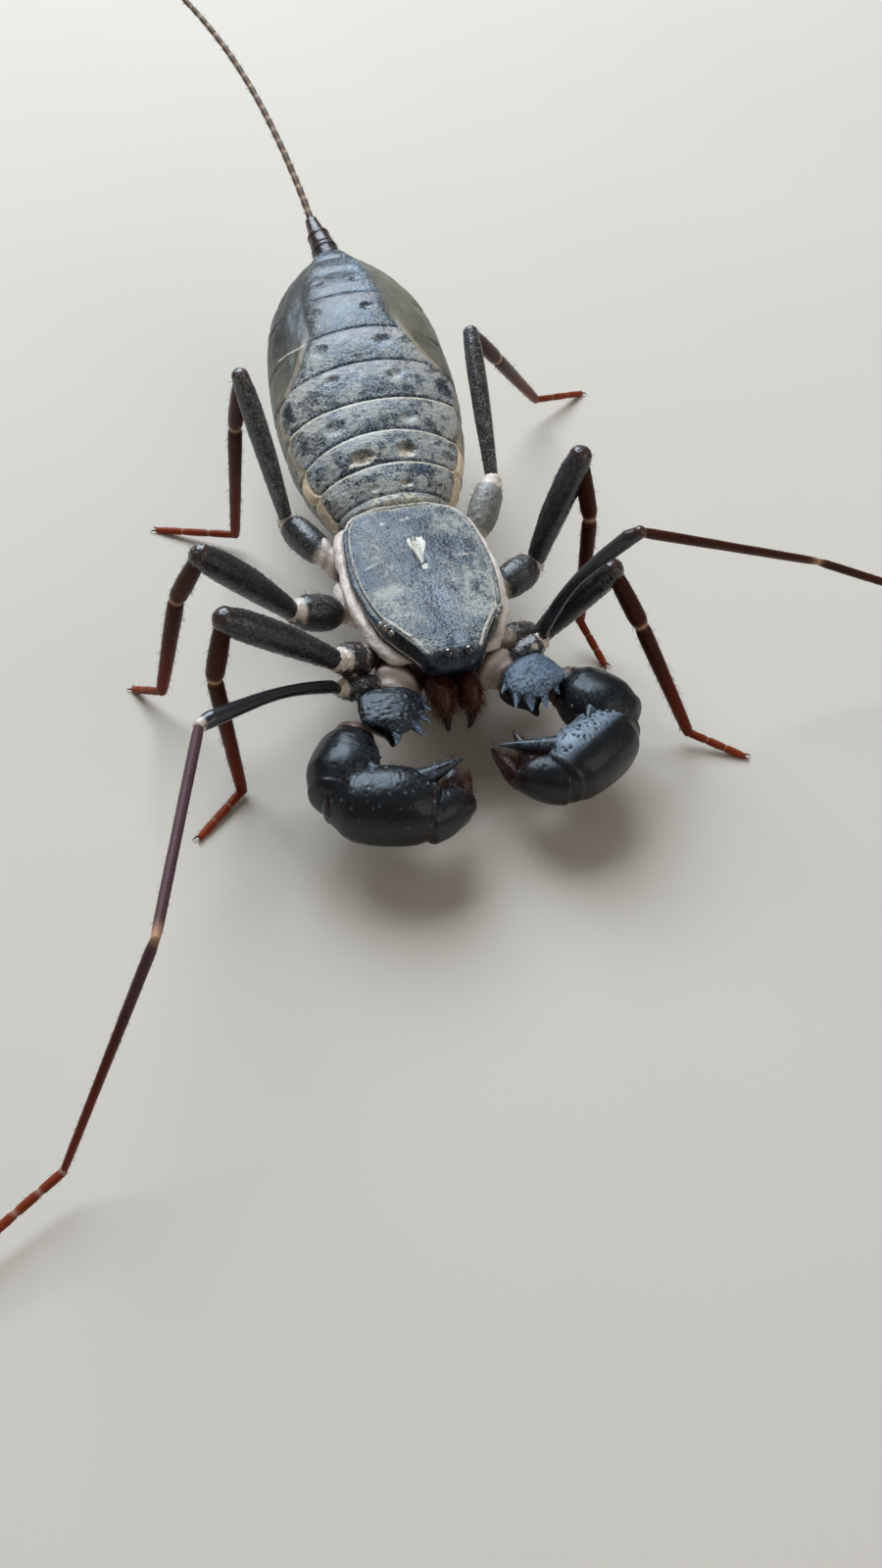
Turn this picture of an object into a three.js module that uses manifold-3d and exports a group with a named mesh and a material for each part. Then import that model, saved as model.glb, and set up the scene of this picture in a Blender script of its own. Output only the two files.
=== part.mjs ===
// Giant whip scorpion (vinegaroon), adult female at life size, standing with its claws folded.
// Units are millimetres. +Z is up, the animal faces -Y and its left side is at +X.
// The floor is at z = 0 and the origin is under the middle of the whole model.

import * as THREE from 'three';
import { mergeVertices } from 'three/addons/utils/BufferGeometryUtils.js';
import Module from 'manifold-3d';

const wasm = await Module();
wasm.setup();

// ---------------------------------------------------------------- driving dimensions

const GAP = 0.3;                    // clearance between neighbouring pieces
const EYE_GAP = 0.12;               // clearance round an eye in its socket
const RIGHT = -1;
const LEFT = 1;

const CARAPACE_LENGTH = 18;
const CARAPACE_RIM = 0.45;          // thickness of the shield at its margin
const ABDOMEN_LENGTH = 31.8;
const ABDOMEN_START = new THREE.Vector3(0, 0, 7.5);
const ABDOMEN_YAW = 1.7;            // degrees towards the animal's left
const ABDOMEN_PITCH = 11.8;         // degrees, tail end up
const ABDOMEN_ROLL = 7;             // degrees, back leaning to the animal's right
const ABDOMEN_SEAM = -0.6;          // height of the parting between back and belly
const PYGIDIUM_LENGTH = 5.4;
const PYGIDIUM_AIM = -9;             // degrees from straight back, negative to the animal's right
const PYGIDIUM_LIFT = 17;
const FLAGELLUM_LENGTH = 50;
const FLAGELLUM_SPLIT = 0.45;       // where the whip is parted, as a share of its length

const FOOT_HEIGHT = 0.18;           // centre of a walking foot above the floor
const FEELER_HEIGHT = 1.2;          // centre of a feeler leg's tip above the floor

// Tables of [share of the length, size], read with a smooth curve through them.
const CARAPACE_HALF_WIDTH = [
  [0, 2.6], [0.04, 4.1], [0.13, 4.95], [0.3, 5.4], [0.45, 5.45], [0.58, 5.1],
  [0.7, 4.45], [0.8, 3.5], [0.9, 2.35], [0.97, 1.4], [1, 0.75],
];
const CARAPACE_MARGIN_HEIGHT = [[0, 10.35], [0.12, 9.9], [0.4, 9.5], [0.75, 9.5], [1, 9.85]];
const CARAPACE_CROWN_HEIGHT = [
  [0, 10.9], [0.12, 11.1], [0.4, 11.35], [0.72, 11.6], [0.93, 11.35], [1, 10.25],
];
const CARAPACE_SQUARENESS = [[0, 2.4], [0.5, 2.6], [0.7, 4], [0.8, 8], [1, 8]];
const ABDOMEN_HALF_WIDTH = [
  [0, 3.3], [0.04, 4.4], [0.09, 5.5], [0.17, 6.6], [0.27, 7.45], [0.42, 7.95], [0.5, 8],
  [0.61, 7.75], [0.73, 7.2], [0.84, 5.85], [0.93, 4], [0.98, 2.3], [1, 1.35],
];
const ABDOMEN_BACK_HEIGHT = [
  [0, 2.7], [0.1, 3.2], [0.27, 3.9], [0.5, 4.3], [0.7, 4], [0.85, 2.9], [0.95, 1.8], [1, 1.1],
];
const ABDOMEN_BELLY_DEPTH = [
  [0, 2.1], [0.1, 3], [0.27, 4], [0.5, 4.6], [0.7, 4.2], [0.85, 3.2], [0.95, 2], [1, 1.2],
];

// Leg pairs: where the leg leaves the body (out, forward, up), then the length and half-thickness
// of trochanter, femur, patella, tibia and tarsus, and how far the femur bows upwards.
const LEG_PAIRS = {
  leg1: {
    hip: [4.9, 14.8, 6.9],
    lengths: [3.4, 12.8, 18.3, 17, 13.2],
    thick: [0.9, 0.5, 0.32, 0.28, 0.27],
    bow: 1.1,
  },
  leg2: {
    hip: [5.3, 12.3, 7.2],
    lengths: [4.2, 10, 5.3, 10.5, 4.8],
    thick: [1.2, 1.05, 0.66, 0.52, 0.3],
    bow: 0.15,
  },
  leg3: {
    hip: [6.3, 7.3, 7.4],
    lengths: [4.3, 10.3, 5.4, 10, 4.2],
    thick: [1.3, 1.02, 0.62, 0.52, 0.3],
    bow: 0.15,
  },
  leg4: {
    hip: [6.2, 1.2, 7.5],
    lengths: [5.3, 13.1, 6.2, 13.2, 7.5],
    thick: [1.2, 0.78, 0.6, 0.5, 0.3],
    bow: 0.1,
  },
};

// Pose of each leg: [heading, lift] in degrees of its five segments. A heading of 0 points straight
// out to the side and 90 points forward. The tarsus has a heading only, because it reaches down
// to its foot height.
const LEG_POSES = [
  { pair: 'leg1', side: RIGHT, bends: [[10, 15], [28, 23], [76, 12], [37, -55], [30]] },
  { pair: 'leg2', side: RIGHT, bends: [[37, 36], [4, 39], [16, -77], [110, -77], [42]] },
  { pair: 'leg3', side: RIGHT, bends: [[14, 23], [13, 51], [-32, -64], [-10, -77], [-52]] },
  { pair: 'leg4', side: RIGHT, bends: [[-64, 1], [-36, 76], [-76, -70], [-76, -79], [-28]] },
  { pair: 'leg1', side: LEFT, bends: [[-21, 17], [26, 66], [-6, -23], [9, -21], [34]] },
  { pair: 'leg2', side: LEFT, bends: [[-21, -28], [35, 63], [37, -55], [46, -55], [32]] },
  { pair: 'leg3', side: LEFT, bends: [[-30, 3], [-7, 76], [45, -72], [77, -82], [64]] },
  { pair: 'leg4', side: LEFT, bends: [[-59, 25], [-86, 30], [-36, -46], [-42, -45], [-28]] },
];

// Claw arms (pedipalps): start of each segment as [out, forward, up] and its heading, which is 0
// for straight forward and positive outwards.
const PALP_LENGTHS = { trochanter: 3.6, femur: 5, patella: 6.9, tibia: 3.2, tarsus: 3.5 };
const PALP_POSES = [
  {
    side: RIGHT,
    trochanter: { start: [4.8, 16.4, 6.6], heading: 7 },
    femur: { start: [8, 19, 6], heading: 27 },
    patella: { start: [10.4, 23.6, 5.7], heading: -70 },
    tibia: { start: [4.2, 26.3, 5.4], heading: -102 },
    tarsus: { start: [1.5, 25.7, 4.9], heading: -158 },
  },
  {
    side: LEFT,
    trochanter: { start: [5.7, 15.8, 6.6], heading: 3 },
    femur: { start: [9, 17.2, 6], heading: 38 },
    patella: { start: [12, 21.4, 5.6], heading: -58 },
    tibia: { start: [6.2, 25.1, 5.4], heading: -103 },
    tarsus: { start: [3.2, 24.2, 4.9], heading: -161 },
  },
];

const FINISHES = {
  shield: { color: 0x2b3036, roughness: 0.62, metalness: 0 },
  plate: { color: 0x33383d, roughness: 0.6, metalness: 0 },
  membrane: { color: 0x5a5a48, roughness: 0.55, metalness: 0 },
  claw: { color: 0x16181b, roughness: 0.3, metalness: 0 },
  finger: { color: 0x3a1410, roughness: 0.4, metalness: 0 },
  femur: { color: 0x1d1d20, roughness: 0.45, metalness: 0 },
  shin: { color: 0x33201e, roughness: 0.4, metalness: 0 },
  tarsus: { color: 0x5a1e18, roughness: 0.4, metalness: 0 },
  eye: { color: 0x08080a, roughness: 0.1, metalness: 0 },
  whip: { color: 0x4a2a22, roughness: 0.5, metalness: 0 },
};

// ---------------------------------------------------------------- small helpers

const UP = new THREE.Vector3(0, 0, 1);
const radians = THREE.MathUtils.degToRad;

// Smooth value at share t of a table of [share, value] pairs.
function along(table, t) {
  let i = 0;
  while (i < table.length - 2 && t > table[i + 1][0]) {
    i += 1;
  }
  const slope = (k) => {
    const a = table[Math.max(k - 1, 0)];
    const b = table[Math.min(k + 1, table.length - 1)];
    return (b[1] - a[1]) / (b[0] - a[0]);
  };
  const [t0, v0] = table[i];
  const [t1, v1] = table[i + 1];
  const span = t1 - t0;
  const u = THREE.MathUtils.clamp((t - t0) / span, 0, 1);
  const leaving = span * slope(i) * (u - 2 * u * u + u * u * u);
  const arriving = span * slope(i + 1) * (u * u * u - u * u);
  return v0 + (v1 - v0) * (3 * u * u - 2 * u * u * u) + leaving + arriving;
}

// Six times the signed volume inside an indexed surface: negative where its faces point inwards.
function signedVolume(positions, index) {
  const corner = (i) => new THREE.Vector3().fromArray(positions, 3 * index[i]);
  let sum = 0;
  for (let i = 0; i < index.length; i += 3) {
    sum += corner(i).dot(corner(i + 1).cross(corner(i + 2)));
  }
  return sum;
}

// Closed surface through rings of equally many points, capped by a fan at each end. Its faces
// point outwards whichever way round the rings run.
function loft(rings) {
  const sides = rings[0].length;
  const positions = [];
  const index = [];
  rings.flat().forEach((p) => positions.push(p.x, p.y, p.z));
  for (let r = 0; r < rings.length - 1; r += 1) {
    for (let i = 0; i < sides; i += 1) {
      const a = r * sides + i;
      const b = r * sides + ((i + 1) % sides);
      index.push(a, b, b + sides, a, b + sides, a + sides);
    }
  }
  [0, rings.length - 1].forEach((r, end) => {
    const middle = new THREE.Vector3();
    rings[r].forEach((p) => middle.addScaledVector(p, 1 / sides));
    const hub = positions.length / 3;
    positions.push(middle.x, middle.y, middle.z);
    for (let i = 0; i < sides; i += 1) {
      const a = r * sides + i;
      const b = r * sides + ((i + 1) % sides);
      index.push(hub, end ? a : b, end ? b : a);
    }
  });
  if (signedVolume(positions, index) < 0) {
    index.reverse();
  }
  const geometry = new THREE.BufferGeometry();
  geometry.setAttribute('position', new THREE.Float32BufferAttribute(positions, 3));
  geometry.setIndex(index);
  return geometry;
}

// Ring of a rounded section: halfWidth along `across`, halfHeight along `upward`.
function sectionRing(centre, across, upward, halfWidth, halfHeight, sides) {
  const ring = [];
  for (let i = 0; i < sides; i += 1) {
    const angle = (2 * Math.PI * (i + 0.5)) / sides;
    ring.push(
      centre.clone()
        .addScaledVector(across, halfWidth * Math.cos(angle))
        .addScaledVector(upward, halfHeight * Math.sin(angle)),
    );
  }
  return ring;
}

// Solid along a straight axis. Each station is [share of length, half width, half height, rise],
// and `grow` fattens the whole solid by that much all round.
function spindle(start, direction, length, stations, sides, grow = 0) {
  const across = new THREE.Vector3().crossVectors(direction, UP);
  if (across.lengthSq() < 1e-4) {
    across.set(1, 0, 0);
  }
  across.normalize();
  const upward = new THREE.Vector3().crossVectors(across, direction).normalize();
  const last = stations.length - 1;
  const rings = stations.map(([share, wide, high, rise = 0], i) => {
    const overrun = (i === 0 ? -grow : 0) + (i === last ? grow : 0);
    const centre = start.clone()
      .addScaledVector(direction, share * length + overrun)
      .addScaledVector(upward, rise);
    return sectionRing(centre, across, upward, wide + grow, high + grow, sides);
  });
  return loft(rings);
}

// Spindle between two points that tapers from one radius to another.
function thorn(from, to, thick, thin, sides, grow = 0) {
  const direction = to.clone().sub(from);
  const length = direction.length();
  const stations = [[0, thick, thick], [0.5, thick * 0.62, thick * 0.62], [1, thin, thin]];
  return spindle(from, direction.divideScalar(length), length, stations, sides, grow);
}

function toSolid(geometry) {
  const bare = new THREE.BufferGeometry();
  bare.setAttribute('position', geometry.getAttribute('position'));
  bare.setIndex(geometry.getIndex());
  const merged = mergeVertices(bare, 1e-4);
  return new wasm.Manifold(new wasm.Mesh({
    numProp: 3,
    vertProperties: new Float32Array(merged.getAttribute('position').array),
    triVerts: new Uint32Array(merged.getIndex().array),
  }));
}

function toGeometry(solid) {
  const mesh = solid.getMesh();
  const geometry = new THREE.BufferGeometry();
  geometry.setAttribute('position', new THREE.BufferAttribute(new Float32Array(mesh.vertProperties), 3));
  geometry.setIndex(new THREE.BufferAttribute(new Uint32Array(mesh.triVerts), 1));
  return geometry;
}

function joined(geometries) {
  return geometries.map(toSolid).reduce((whole, piece) => whole.add(piece));
}

const bodyPoint = (side, [out, forward, up]) => new THREE.Vector3(side * out, -forward, up);

// ---------------------------------------------------------------- head and trunk

const CARAPACE_STATIONS = [0, 0.02, 0.06, 0.13, 0.22, 0.34, 0.46, 0.58, 0.67, 0.75, 0.83, 0.9, 0.96, 1];
const CARAPACE_SPREAD = [-1, -0.97, -0.86, -0.6, -0.3, 0, 0.3, 0.6, 0.86, 0.97, 1];

function carapaceTop(t, u) {
  const margin = along(CARAPACE_MARGIN_HEIGHT, t);
  const crown = along(CARAPACE_CROWN_HEIGHT, t);
  const power = along(CARAPACE_SQUARENESS, t);
  return margin + (crown - margin) * (1 - Math.abs(u) ** power) ** (1 / power);
}

function carapace(grow = 0) {
  const rings = CARAPACE_STATIONS.map((t, i) => {
    const end = (i === 0 ? grow : 0) - (i === CARAPACE_STATIONS.length - 1 ? grow : 0);
    const y = -t * CARAPACE_LENGTH + end;
    const wide = along(CARAPACE_HALF_WIDTH, t);
    const under = along(CARAPACE_MARGIN_HEIGHT, t) - CARAPACE_RIM - grow;
    const top = CARAPACE_SPREAD.map((u) => (
      new THREE.Vector3(u * (wide + grow), y, carapaceTop(t, u) + grow)
    ));
    const bottom = [0.95, 0, -0.95].map((u) => new THREE.Vector3(u * (wide + grow), y, under));
    return [...top, ...bottom];
  });
  return toSolid(loft(rings));
}

// One of the two large eyes on the front knob, or the row of three small ones on a side knob.
const MEDIAN_EYE = { out: 0.88, forward: 16.55, up: 11.3, radius: 0.42 };
const LATERAL_EYES = [
  { out: 4.35, forward: 12.75, up: 11.25, radius: 0.34 },
  { out: 4.1, forward: 13.3, up: 11.3, radius: 0.36 },
  { out: 3.75, forward: 13.85, up: 11.22, radius: 0.34 },
];

function eyes(side, list, grow = 0) {
  return joined(list.map((eye) => {
    const ball = new THREE.SphereGeometry(eye.radius + grow * (EYE_GAP / GAP), 7, 4);
    ball.rotateX(Math.PI / 2);
    ball.translate(side * eye.out, -eye.forward, eye.up);
    return ball;
  }));
}

const COXAE = [
  { inner: [1.6, 11.6, 6.7], outer: [4.3, 15.6, 6.7], thick: 2, thin: 1.7 },
  { inner: [1, 11.2, 6.4], outer: LEG_PAIRS.leg1.hip, thick: 0.9, thin: 0.8 },
  { inner: [1, 9.6, 6.4], outer: LEG_PAIRS.leg2.hip, thick: 1.2, thin: 1.1 },
  { inner: [1, 6.8, 6.5], outer: LEG_PAIRS.leg3.hip, thick: 1.35, thin: 1.2 },
  { inner: [1.1, 4.2, 6.6], outer: LEG_PAIRS.leg4.hip, thick: 1.5, thin: 1.35 },
];

function prosomaUnderside(grow = 0) {
  const trunk = [0.03, 0.1, 0.25, 0.45, 0.65, 0.8, 0.9].map((t) => {
    const top = along(CARAPACE_MARGIN_HEIGHT, t) - CARAPACE_RIM + 0.5;
    const bottom = 5.7 - grow;
    const wide = along(CARAPACE_HALF_WIDTH, t) * 0.9 + grow;
    const centre = new THREE.Vector3(0, -t * CARAPACE_LENGTH, (top + bottom) / 2);
    const tall = (top - bottom) / 2;
    return sectionRing(centre, new THREE.Vector3(1, 0, 0), UP, wide, tall, 12);
  });
  const coxae = [RIGHT, LEFT].flatMap((side) => COXAE.map(({ inner, outer, thick, thin }) => {
    const from = bodyPoint(side, inner);
    const run = bodyPoint(side, outer).sub(from);
    const length = run.length();
    const girths = [[0, thick * 0.6], [0.3, thick], [0.8, thin * 1.05], [1, thin * 0.7]];
    const stations = girths.map(([share, girth]) => [share, girth, girth]);
    return spindle(from, run.divideScalar(length), length, stations, 6, grow);
  }));
  return joined([loft(trunk), ...coxae]);
}

function chelicera(side, grow = 0) {
  const base = spindle(
    bodyPoint(side, [1.05, 14.2, 7.7]), new THREE.Vector3(0, -1, -0.04).normalize(), 4.6,
    [[0, 0.75, 1.1], [0.3, 0.95, 1.45], [0.75, 0.95, 1.4], [1, 0.55, 0.8]], 8, grow,
  );
  const root = bodyPoint(side, [1.05, 18.3, 7.4]);
  const tip = bodyPoint(side, [0.75, 18.9, 5.3]);
  const fang = thorn(root, tip, 0.5, 0.18, 6, grow);
  return joined([base, fang]);
}

// ---------------------------------------------------------------- claw arms

const PALP_SHAPES = {
  trochanter: [[0, 1.3, 1.3], [0.2, 2.3, 1.8], [0.75, 2.6, 1.9], [1, 2, 1.3]],
  femur: [[0, 1.3, 1.6], [0.25, 2.1, 2.35], [0.7, 2.4, 2.6], [1, 1.9, 2.1]],
  patella: [[0, 1.5, 1.6], [0.18, 2.35, 2.5], [0.5, 2.6, 2.75], [0.85, 2.3, 2.5], [1, 1.9, 2.1]],
  tibia: [[0, 1.7, 1.9], [0.4, 1.6, 1.85], [0.8, 1.15, 1.4], [1, 0.7, 0.85]],
  tarsus: [[0, 0.6, 0.85], [0.3, 0.62, 0.85], [0.7, 0.42, 0.5], [1, 0.22, 0.22]],
};

// Thorns of each segment: [along, inward, up] from its start, and [along, inward, up] of the tip.
const PALP_THORNS = {
  trochanter: [
    { from: [3.1, 1.3, 1], to: [4.6, 2.1, 1.3], thick: 0.45 },
    { from: [2.8, 2, 1], to: [3.6, 3.3, 1.4], thick: 0.42 },
    { from: [2, 2.1, 1], to: [2.4, 3.4, 1.4], thick: 0.38 },
    { from: [3.1, 0.2, 1], to: [4.6, 0.3, 1.2], thick: 0.38 },
  ],
  femur: [{ from: [3, 1.8, 1.4], to: [3.6, 3.4, 1.9], thick: 0.55 }],
  patella: [{ from: [5.6, 1.6, 1.9], to: [9.3, 2.9, 2.5], thick: 0.75 }],
  tibia: [{ from: [2.4, 1, 0.6], to: [3.6, 3.6, 1.2], thick: 0.7 }],
  tarsus: [],
};

function palpSegment(pose, segment, grow = 0) {
  const { start, heading } = pose[segment];
  const turn = radians(heading);
  const direction = new THREE.Vector3(pose.side * Math.sin(turn), -Math.cos(turn), 0);
  const inward = new THREE.Vector3(-pose.side * Math.cos(turn), -Math.sin(turn), 0);
  const origin = bodyPoint(pose.side, start);
  const place = ([ahead, aside, up]) => origin.clone()
    .addScaledVector(direction, ahead)
    .addScaledVector(inward, aside)
    .addScaledVector(UP, up);
  const barrel = spindle(origin, direction, PALP_LENGTHS[segment], PALP_SHAPES[segment], 11, grow);
  const thorns = PALP_THORNS[segment].map(({ from, to, thick }) => (
    thorn(place(from), place(to), thick, 0.22, 6, grow)
  ));
  return joined([barrel, ...thorns]);
}

// ---------------------------------------------------------------- legs

const TROCHANTER_SHAPE = [[0, 0.6, 0.6], [0.3, 1, 1], [0.75, 1, 1], [1, 0.65, 0.65]];
const FEMUR_SHAPE = [
  [0, 0.75, 0.7, 0], [0.15, 0.9, 0.97, 0.5], [0.5, 0.9, 1, 1], [0.85, 0.95, 1, 0.5], [1, 0.72, 0.72, 0],
];
const PATELLA_SHAPE = [[0, 1, 1], [0.3, 1.05, 1.1], [1, 0.9, 0.9]];
const TIBIA_SHAPE = [[0, 1, 1], [0.5, 0.95, 1.05], [1, 0.75, 0.75]];
const TARSUS_SHAPE = [[0, 1, 1], [0.6, 0.95, 0.95], [0.85, 1.05, 1.05], [1, 1.05, 1.05]];

function legJoints({ pair, side, bends }) {
  const { hip, lengths } = LEG_PAIRS[pair];
  const joints = [bodyPoint(side, hip)];
  bends.forEach(([heading, lift], k) => {
    const from = joints[k];
    const foot = pair === 'leg1' ? FEELER_HEIGHT : FOOT_HEIGHT;
    const drop = Math.asin((foot - from.z) / lengths[k]);
    const rise = lift === undefined ? drop : radians(lift);
    const turn = radians(heading);
    joints.push(from.clone().add(new THREE.Vector3(
      side * Math.cos(turn) * Math.cos(rise),
      -Math.sin(turn) * Math.cos(rise),
      Math.sin(rise),
    ).multiplyScalar(lengths[k])));
  });
  return joints;
}

// A run of leg from one joint to the next, whose shape is a list of [share of the length, half
// width, half height, share of the bow].
function legRun(from, to, shape, thick, sides, bow = 0, grow = 0) {
  const direction = to.clone().sub(from);
  const length = direction.length();
  const stations = shape.map(([share, wide, high, arch = 0]) => (
    [share, wide * thick, high * thick, arch * bow]
  ));
  return spindle(from, direction.divideScalar(length), length, stations, sides, grow);
}

// Everything below the floor is cut away, which leaves a small flat under a foot.
function standing(solid) {
  const depth = 4;
  const floor = new THREE.BoxGeometry(200, 200, depth);
  floor.translate(0, 0, -depth / 2);
  return solid.subtract(toSolid(mergeVertices(floor)));
}

function legPieces(pose) {
  const { thick, bow } = LEG_PAIRS[pose.pair];
  const [hip, knee0, knee1, knee2, ankle, tip] = legJoints(pose);
  const name = (segment) => `${pose.pair}_${pose.side === LEFT ? 'left' : 'right'}_${segment}`;
  const piece = (segment, finish, pivot, build) => ({ name: name(segment), finish, pivot, build });
  const run = (a, b, shape, size, sides, arch = 0) => (
    (grow) => toSolid(legRun(a, b, shape, size, sides, arch, grow))
  );
  const trochanter = piece('trochanter', 'femur', hip, run(hip, knee0, TROCHANTER_SHAPE, thick[0], 8));
  const femur = piece('femur', 'femur', knee0, run(knee0, knee1, FEMUR_SHAPE, thick[1], 8, bow));
  const patella = run(knee1, knee2, PATELLA_SHAPE, thick[2], 8);
  const tibia = run(knee2, ankle, TIBIA_SHAPE, thick[3], 8);
  const foot = run(ankle, tip, TARSUS_SHAPE, thick[4], 6);
  if (pose.pair === 'leg1') {
    return [
      trochanter, femur,
      piece('patella', 'shin', knee1, patella),
      piece('tibia', 'tarsus', knee2, tibia),
      piece('tarsus', 'tarsus', ankle, foot),
    ];
  }
  return [
    trochanter, femur,
    piece('shin', 'shin', knee1, (grow) => patella(grow).add(tibia(grow))),
    piece('tarsus', 'tarsus', ankle, (grow) => (grow ? foot(grow) : standing(foot(0)))),
  ];
}

// ---------------------------------------------------------------- abdomen and whip

const abdomenTurn = new THREE.Matrix4()
  .makeRotationZ(radians(-ABDOMEN_YAW))
  .multiply(new THREE.Matrix4().makeRotationX(radians(ABDOMEN_PITCH)))
  .multiply(new THREE.Matrix4().makeRotationY(radians(-ABDOMEN_ROLL)));
const abdomenPoint = (x, s, z) => new THREE.Vector3(x, s, z).applyMatrix4(abdomenTurn).add(ABDOMEN_START);

const ABDOMEN_STATIONS = [0, 0.04, 0.1, 0.18, 0.27, 0.37, 0.47, 0.57, 0.67, 0.76, 0.84, 0.91, 0.96, 1];

function abdomenHalf(isBack, grow = 0) {
  const table = isBack ? ABDOMEN_BACK_HEIGHT : ABDOMEN_BELLY_DEPTH;
  const lift = isBack ? 1 : -1;
  const arc = 12;
  const rings = ABDOMEN_STATIONS.map((t, k) => {
    const end = (k === 0 ? -grow : 0) + (k === ABDOMEN_STATIONS.length - 1 ? grow : 0);
    const wide = along(ABDOMEN_HALF_WIDTH, t) + grow;
    const tall = along(table, t) + lift * -ABDOMEN_SEAM + grow;
    const ring = [];
    for (let i = 0; i <= arc; i += 1) {
      const angle = (Math.PI * i) / arc;
      const x = wide * Math.cos(angle);
      const z = ABDOMEN_SEAM + lift * (tall * Math.sin(angle) ** 0.85 - grow);
      ring.push(abdomenPoint(x, t * ABDOMEN_LENGTH + end, z));
    }
    return ring;
  });
  return toSolid(loft(rings));
}

const WHIP_AIM = [[0, -7], [0.3, -17], [0.7, -39], [1, -54]];        // degrees from straight back
const WHIP_LIFT = [[0, 24], [0.3, 22], [0.7, 14], [1, 5]];           // degrees above level
const WHIP_HALF_THICKNESS = [[0, 0.31], [0.3, 0.27], [1, 0.2]];

// Unit vector at an aim from straight back (+Y, positive to the left) and a lift above level.
function backwards(aim, lift) {
  const turn = radians(aim);
  const rise = radians(lift);
  const level = Math.cos(rise);
  return new THREE.Vector3(Math.sin(turn) * level, Math.cos(turn) * level, Math.sin(rise));
}

const pygidiumStart = abdomenPoint(0, ABDOMEN_LENGTH - 0.4, 0);
const PYGIDIUM_SHAPE = [[0, 1.1, 1.1], [0.12, 1.25, 1.25], [0.6, 1, 1], [1, 0.68, 0.68]];

function pygidium(grow = 0) {
  const direction = backwards(PYGIDIUM_AIM, PYGIDIUM_LIFT);
  return toSolid(spindle(pygidiumStart, direction, PYGIDIUM_LENGTH, PYGIDIUM_SHAPE, 10, grow));
}

// Points along the whip, worked out by following its aim and lift in small steps.
function whipPath(steps) {
  const point = pygidiumStart.clone()
    .addScaledVector(backwards(PYGIDIUM_AIM, PYGIDIUM_LIFT), PYGIDIUM_LENGTH - 0.2);
  const path = [point.clone()];
  for (let i = 0; i < steps; i += 1) {
    const t = (i + 0.5) / steps;
    point.addScaledVector(backwards(along(WHIP_AIM, t), along(WHIP_LIFT, t)), FLAGELLUM_LENGTH / steps);
    path.push(point.clone());
  }
  return path;
}

function whipLength(from, to, grow = 0) {
  const steps = 22;
  const path = whipPath(steps);
  const first = Math.round(from * steps);
  const last = Math.round(to * steps);
  const rings = [];
  for (let i = first; i <= last; i += 1) {
    const ahead = path[Math.min(i + 1, steps)].clone().sub(path[Math.max(i - 1, 0)]).normalize();
    const across = new THREE.Vector3().crossVectors(ahead, UP).normalize();
    const upward = new THREE.Vector3().crossVectors(across, ahead).normalize();
    const radius = along(WHIP_HALF_THICKNESS, i / steps) + grow;
    const overrun = (i === first ? -grow : 0) + (i === last ? grow : 0);
    const centre = path[i].clone().addScaledVector(ahead, overrun);
    rings.push(sectionRing(centre, across, upward, radius, radius, 6));
  }
  return toSolid(loft(rings));
}

// ---------------------------------------------------------------- assembly

const sides = [[RIGHT, 'right'], [LEFT, 'left']];
const pieces = [
  ...sides.map(([side, word]) => ({
    name: `median_eye_${word}`, finish: 'eye', build: (grow) => eyes(side, [MEDIAN_EYE], grow),
  })),
  ...sides.map(([side, word]) => ({
    name: `lateral_eyes_${word}`, finish: 'eye', build: (grow) => eyes(side, LATERAL_EYES, grow),
  })),
  { name: 'carapace', finish: 'shield', build: carapace },
  { name: 'prosoma_underside', finish: 'plate', build: prosomaUnderside },
  ...sides.map(([side, word]) => ({
    name: `chelicera_${word}`, finish: 'finger', build: (grow) => chelicera(side, grow),
  })),
  ...PALP_POSES.flatMap((pose) => Object.keys(PALP_LENGTHS).map((segment) => ({
    name: `pedipalp_${pose.side === LEFT ? 'left' : 'right'}_${segment}`,
    finish: segment === 'tarsus' ? 'finger' : 'claw',
    pivot: bodyPoint(pose.side, pose[segment].start),
    build: (grow) => palpSegment(pose, segment, grow),
  }))),
  ...LEG_POSES.flatMap(legPieces),
  {
    name: 'abdomen_back', finish: 'plate', pivot: ABDOMEN_START, build: (grow) => abdomenHalf(true, grow),
  },
  {
    name: 'abdomen_belly',
    finish: 'membrane',
    pivot: ABDOMEN_START,
    build: (grow) => abdomenHalf(false, grow),
  },
  { name: 'pygidium', finish: 'femur', build: pygidium },
  { name: 'flagellum_base', finish: 'whip', build: (grow) => whipLength(0, FLAGELLUM_SPLIT, grow) },
  { name: 'flagellum_tip', finish: 'whip', build: (grow) => whipLength(FLAGELLUM_SPLIT, 1, grow) },
];

const touching = (a, b) => a.min.every((low, k) => low < b.max[k] && b.min[k] < a.max[k]);

// Each piece gives way to the pieces placed before it, and keeps its largest part.
const placed = [];
const animal = new THREE.Group();
pieces.forEach(({ name, finish, pivot = new THREE.Vector3(), build }) => {
  let solid = build(0);
  const grown = build(GAP);
  const box = solid.boundingBox();
  placed.filter((other) => touching(box, other.box)).forEach((other) => {
    solid = solid.subtract(other.grown);
  });
  placed.push({ grown, box: grown.boundingBox() });
  const [largest] = solid.decompose().sort((a, b) => b.volume() - a.volume());
  const geometry = toGeometry(largest);
  geometry.translate(-pivot.x, -pivot.y, -pivot.z);
  geometry.computeVertexNormals();
  const mesh = new THREE.Mesh(geometry, new THREE.MeshStandardMaterial(FINISHES[finish]));
  mesh.name = name;
  mesh.position.copy(pivot);
  animal.add(mesh);
});

// The origin lies on the floor under the middle of the model.
const group = new THREE.Group();
group.add(animal);
const bounds = new THREE.Box3().setFromObject(group, true);
const middle = bounds.getCenter(new THREE.Vector3());
animal.position.set(-middle.x, -middle.y, -bounds.min.z);

export default group;
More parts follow.
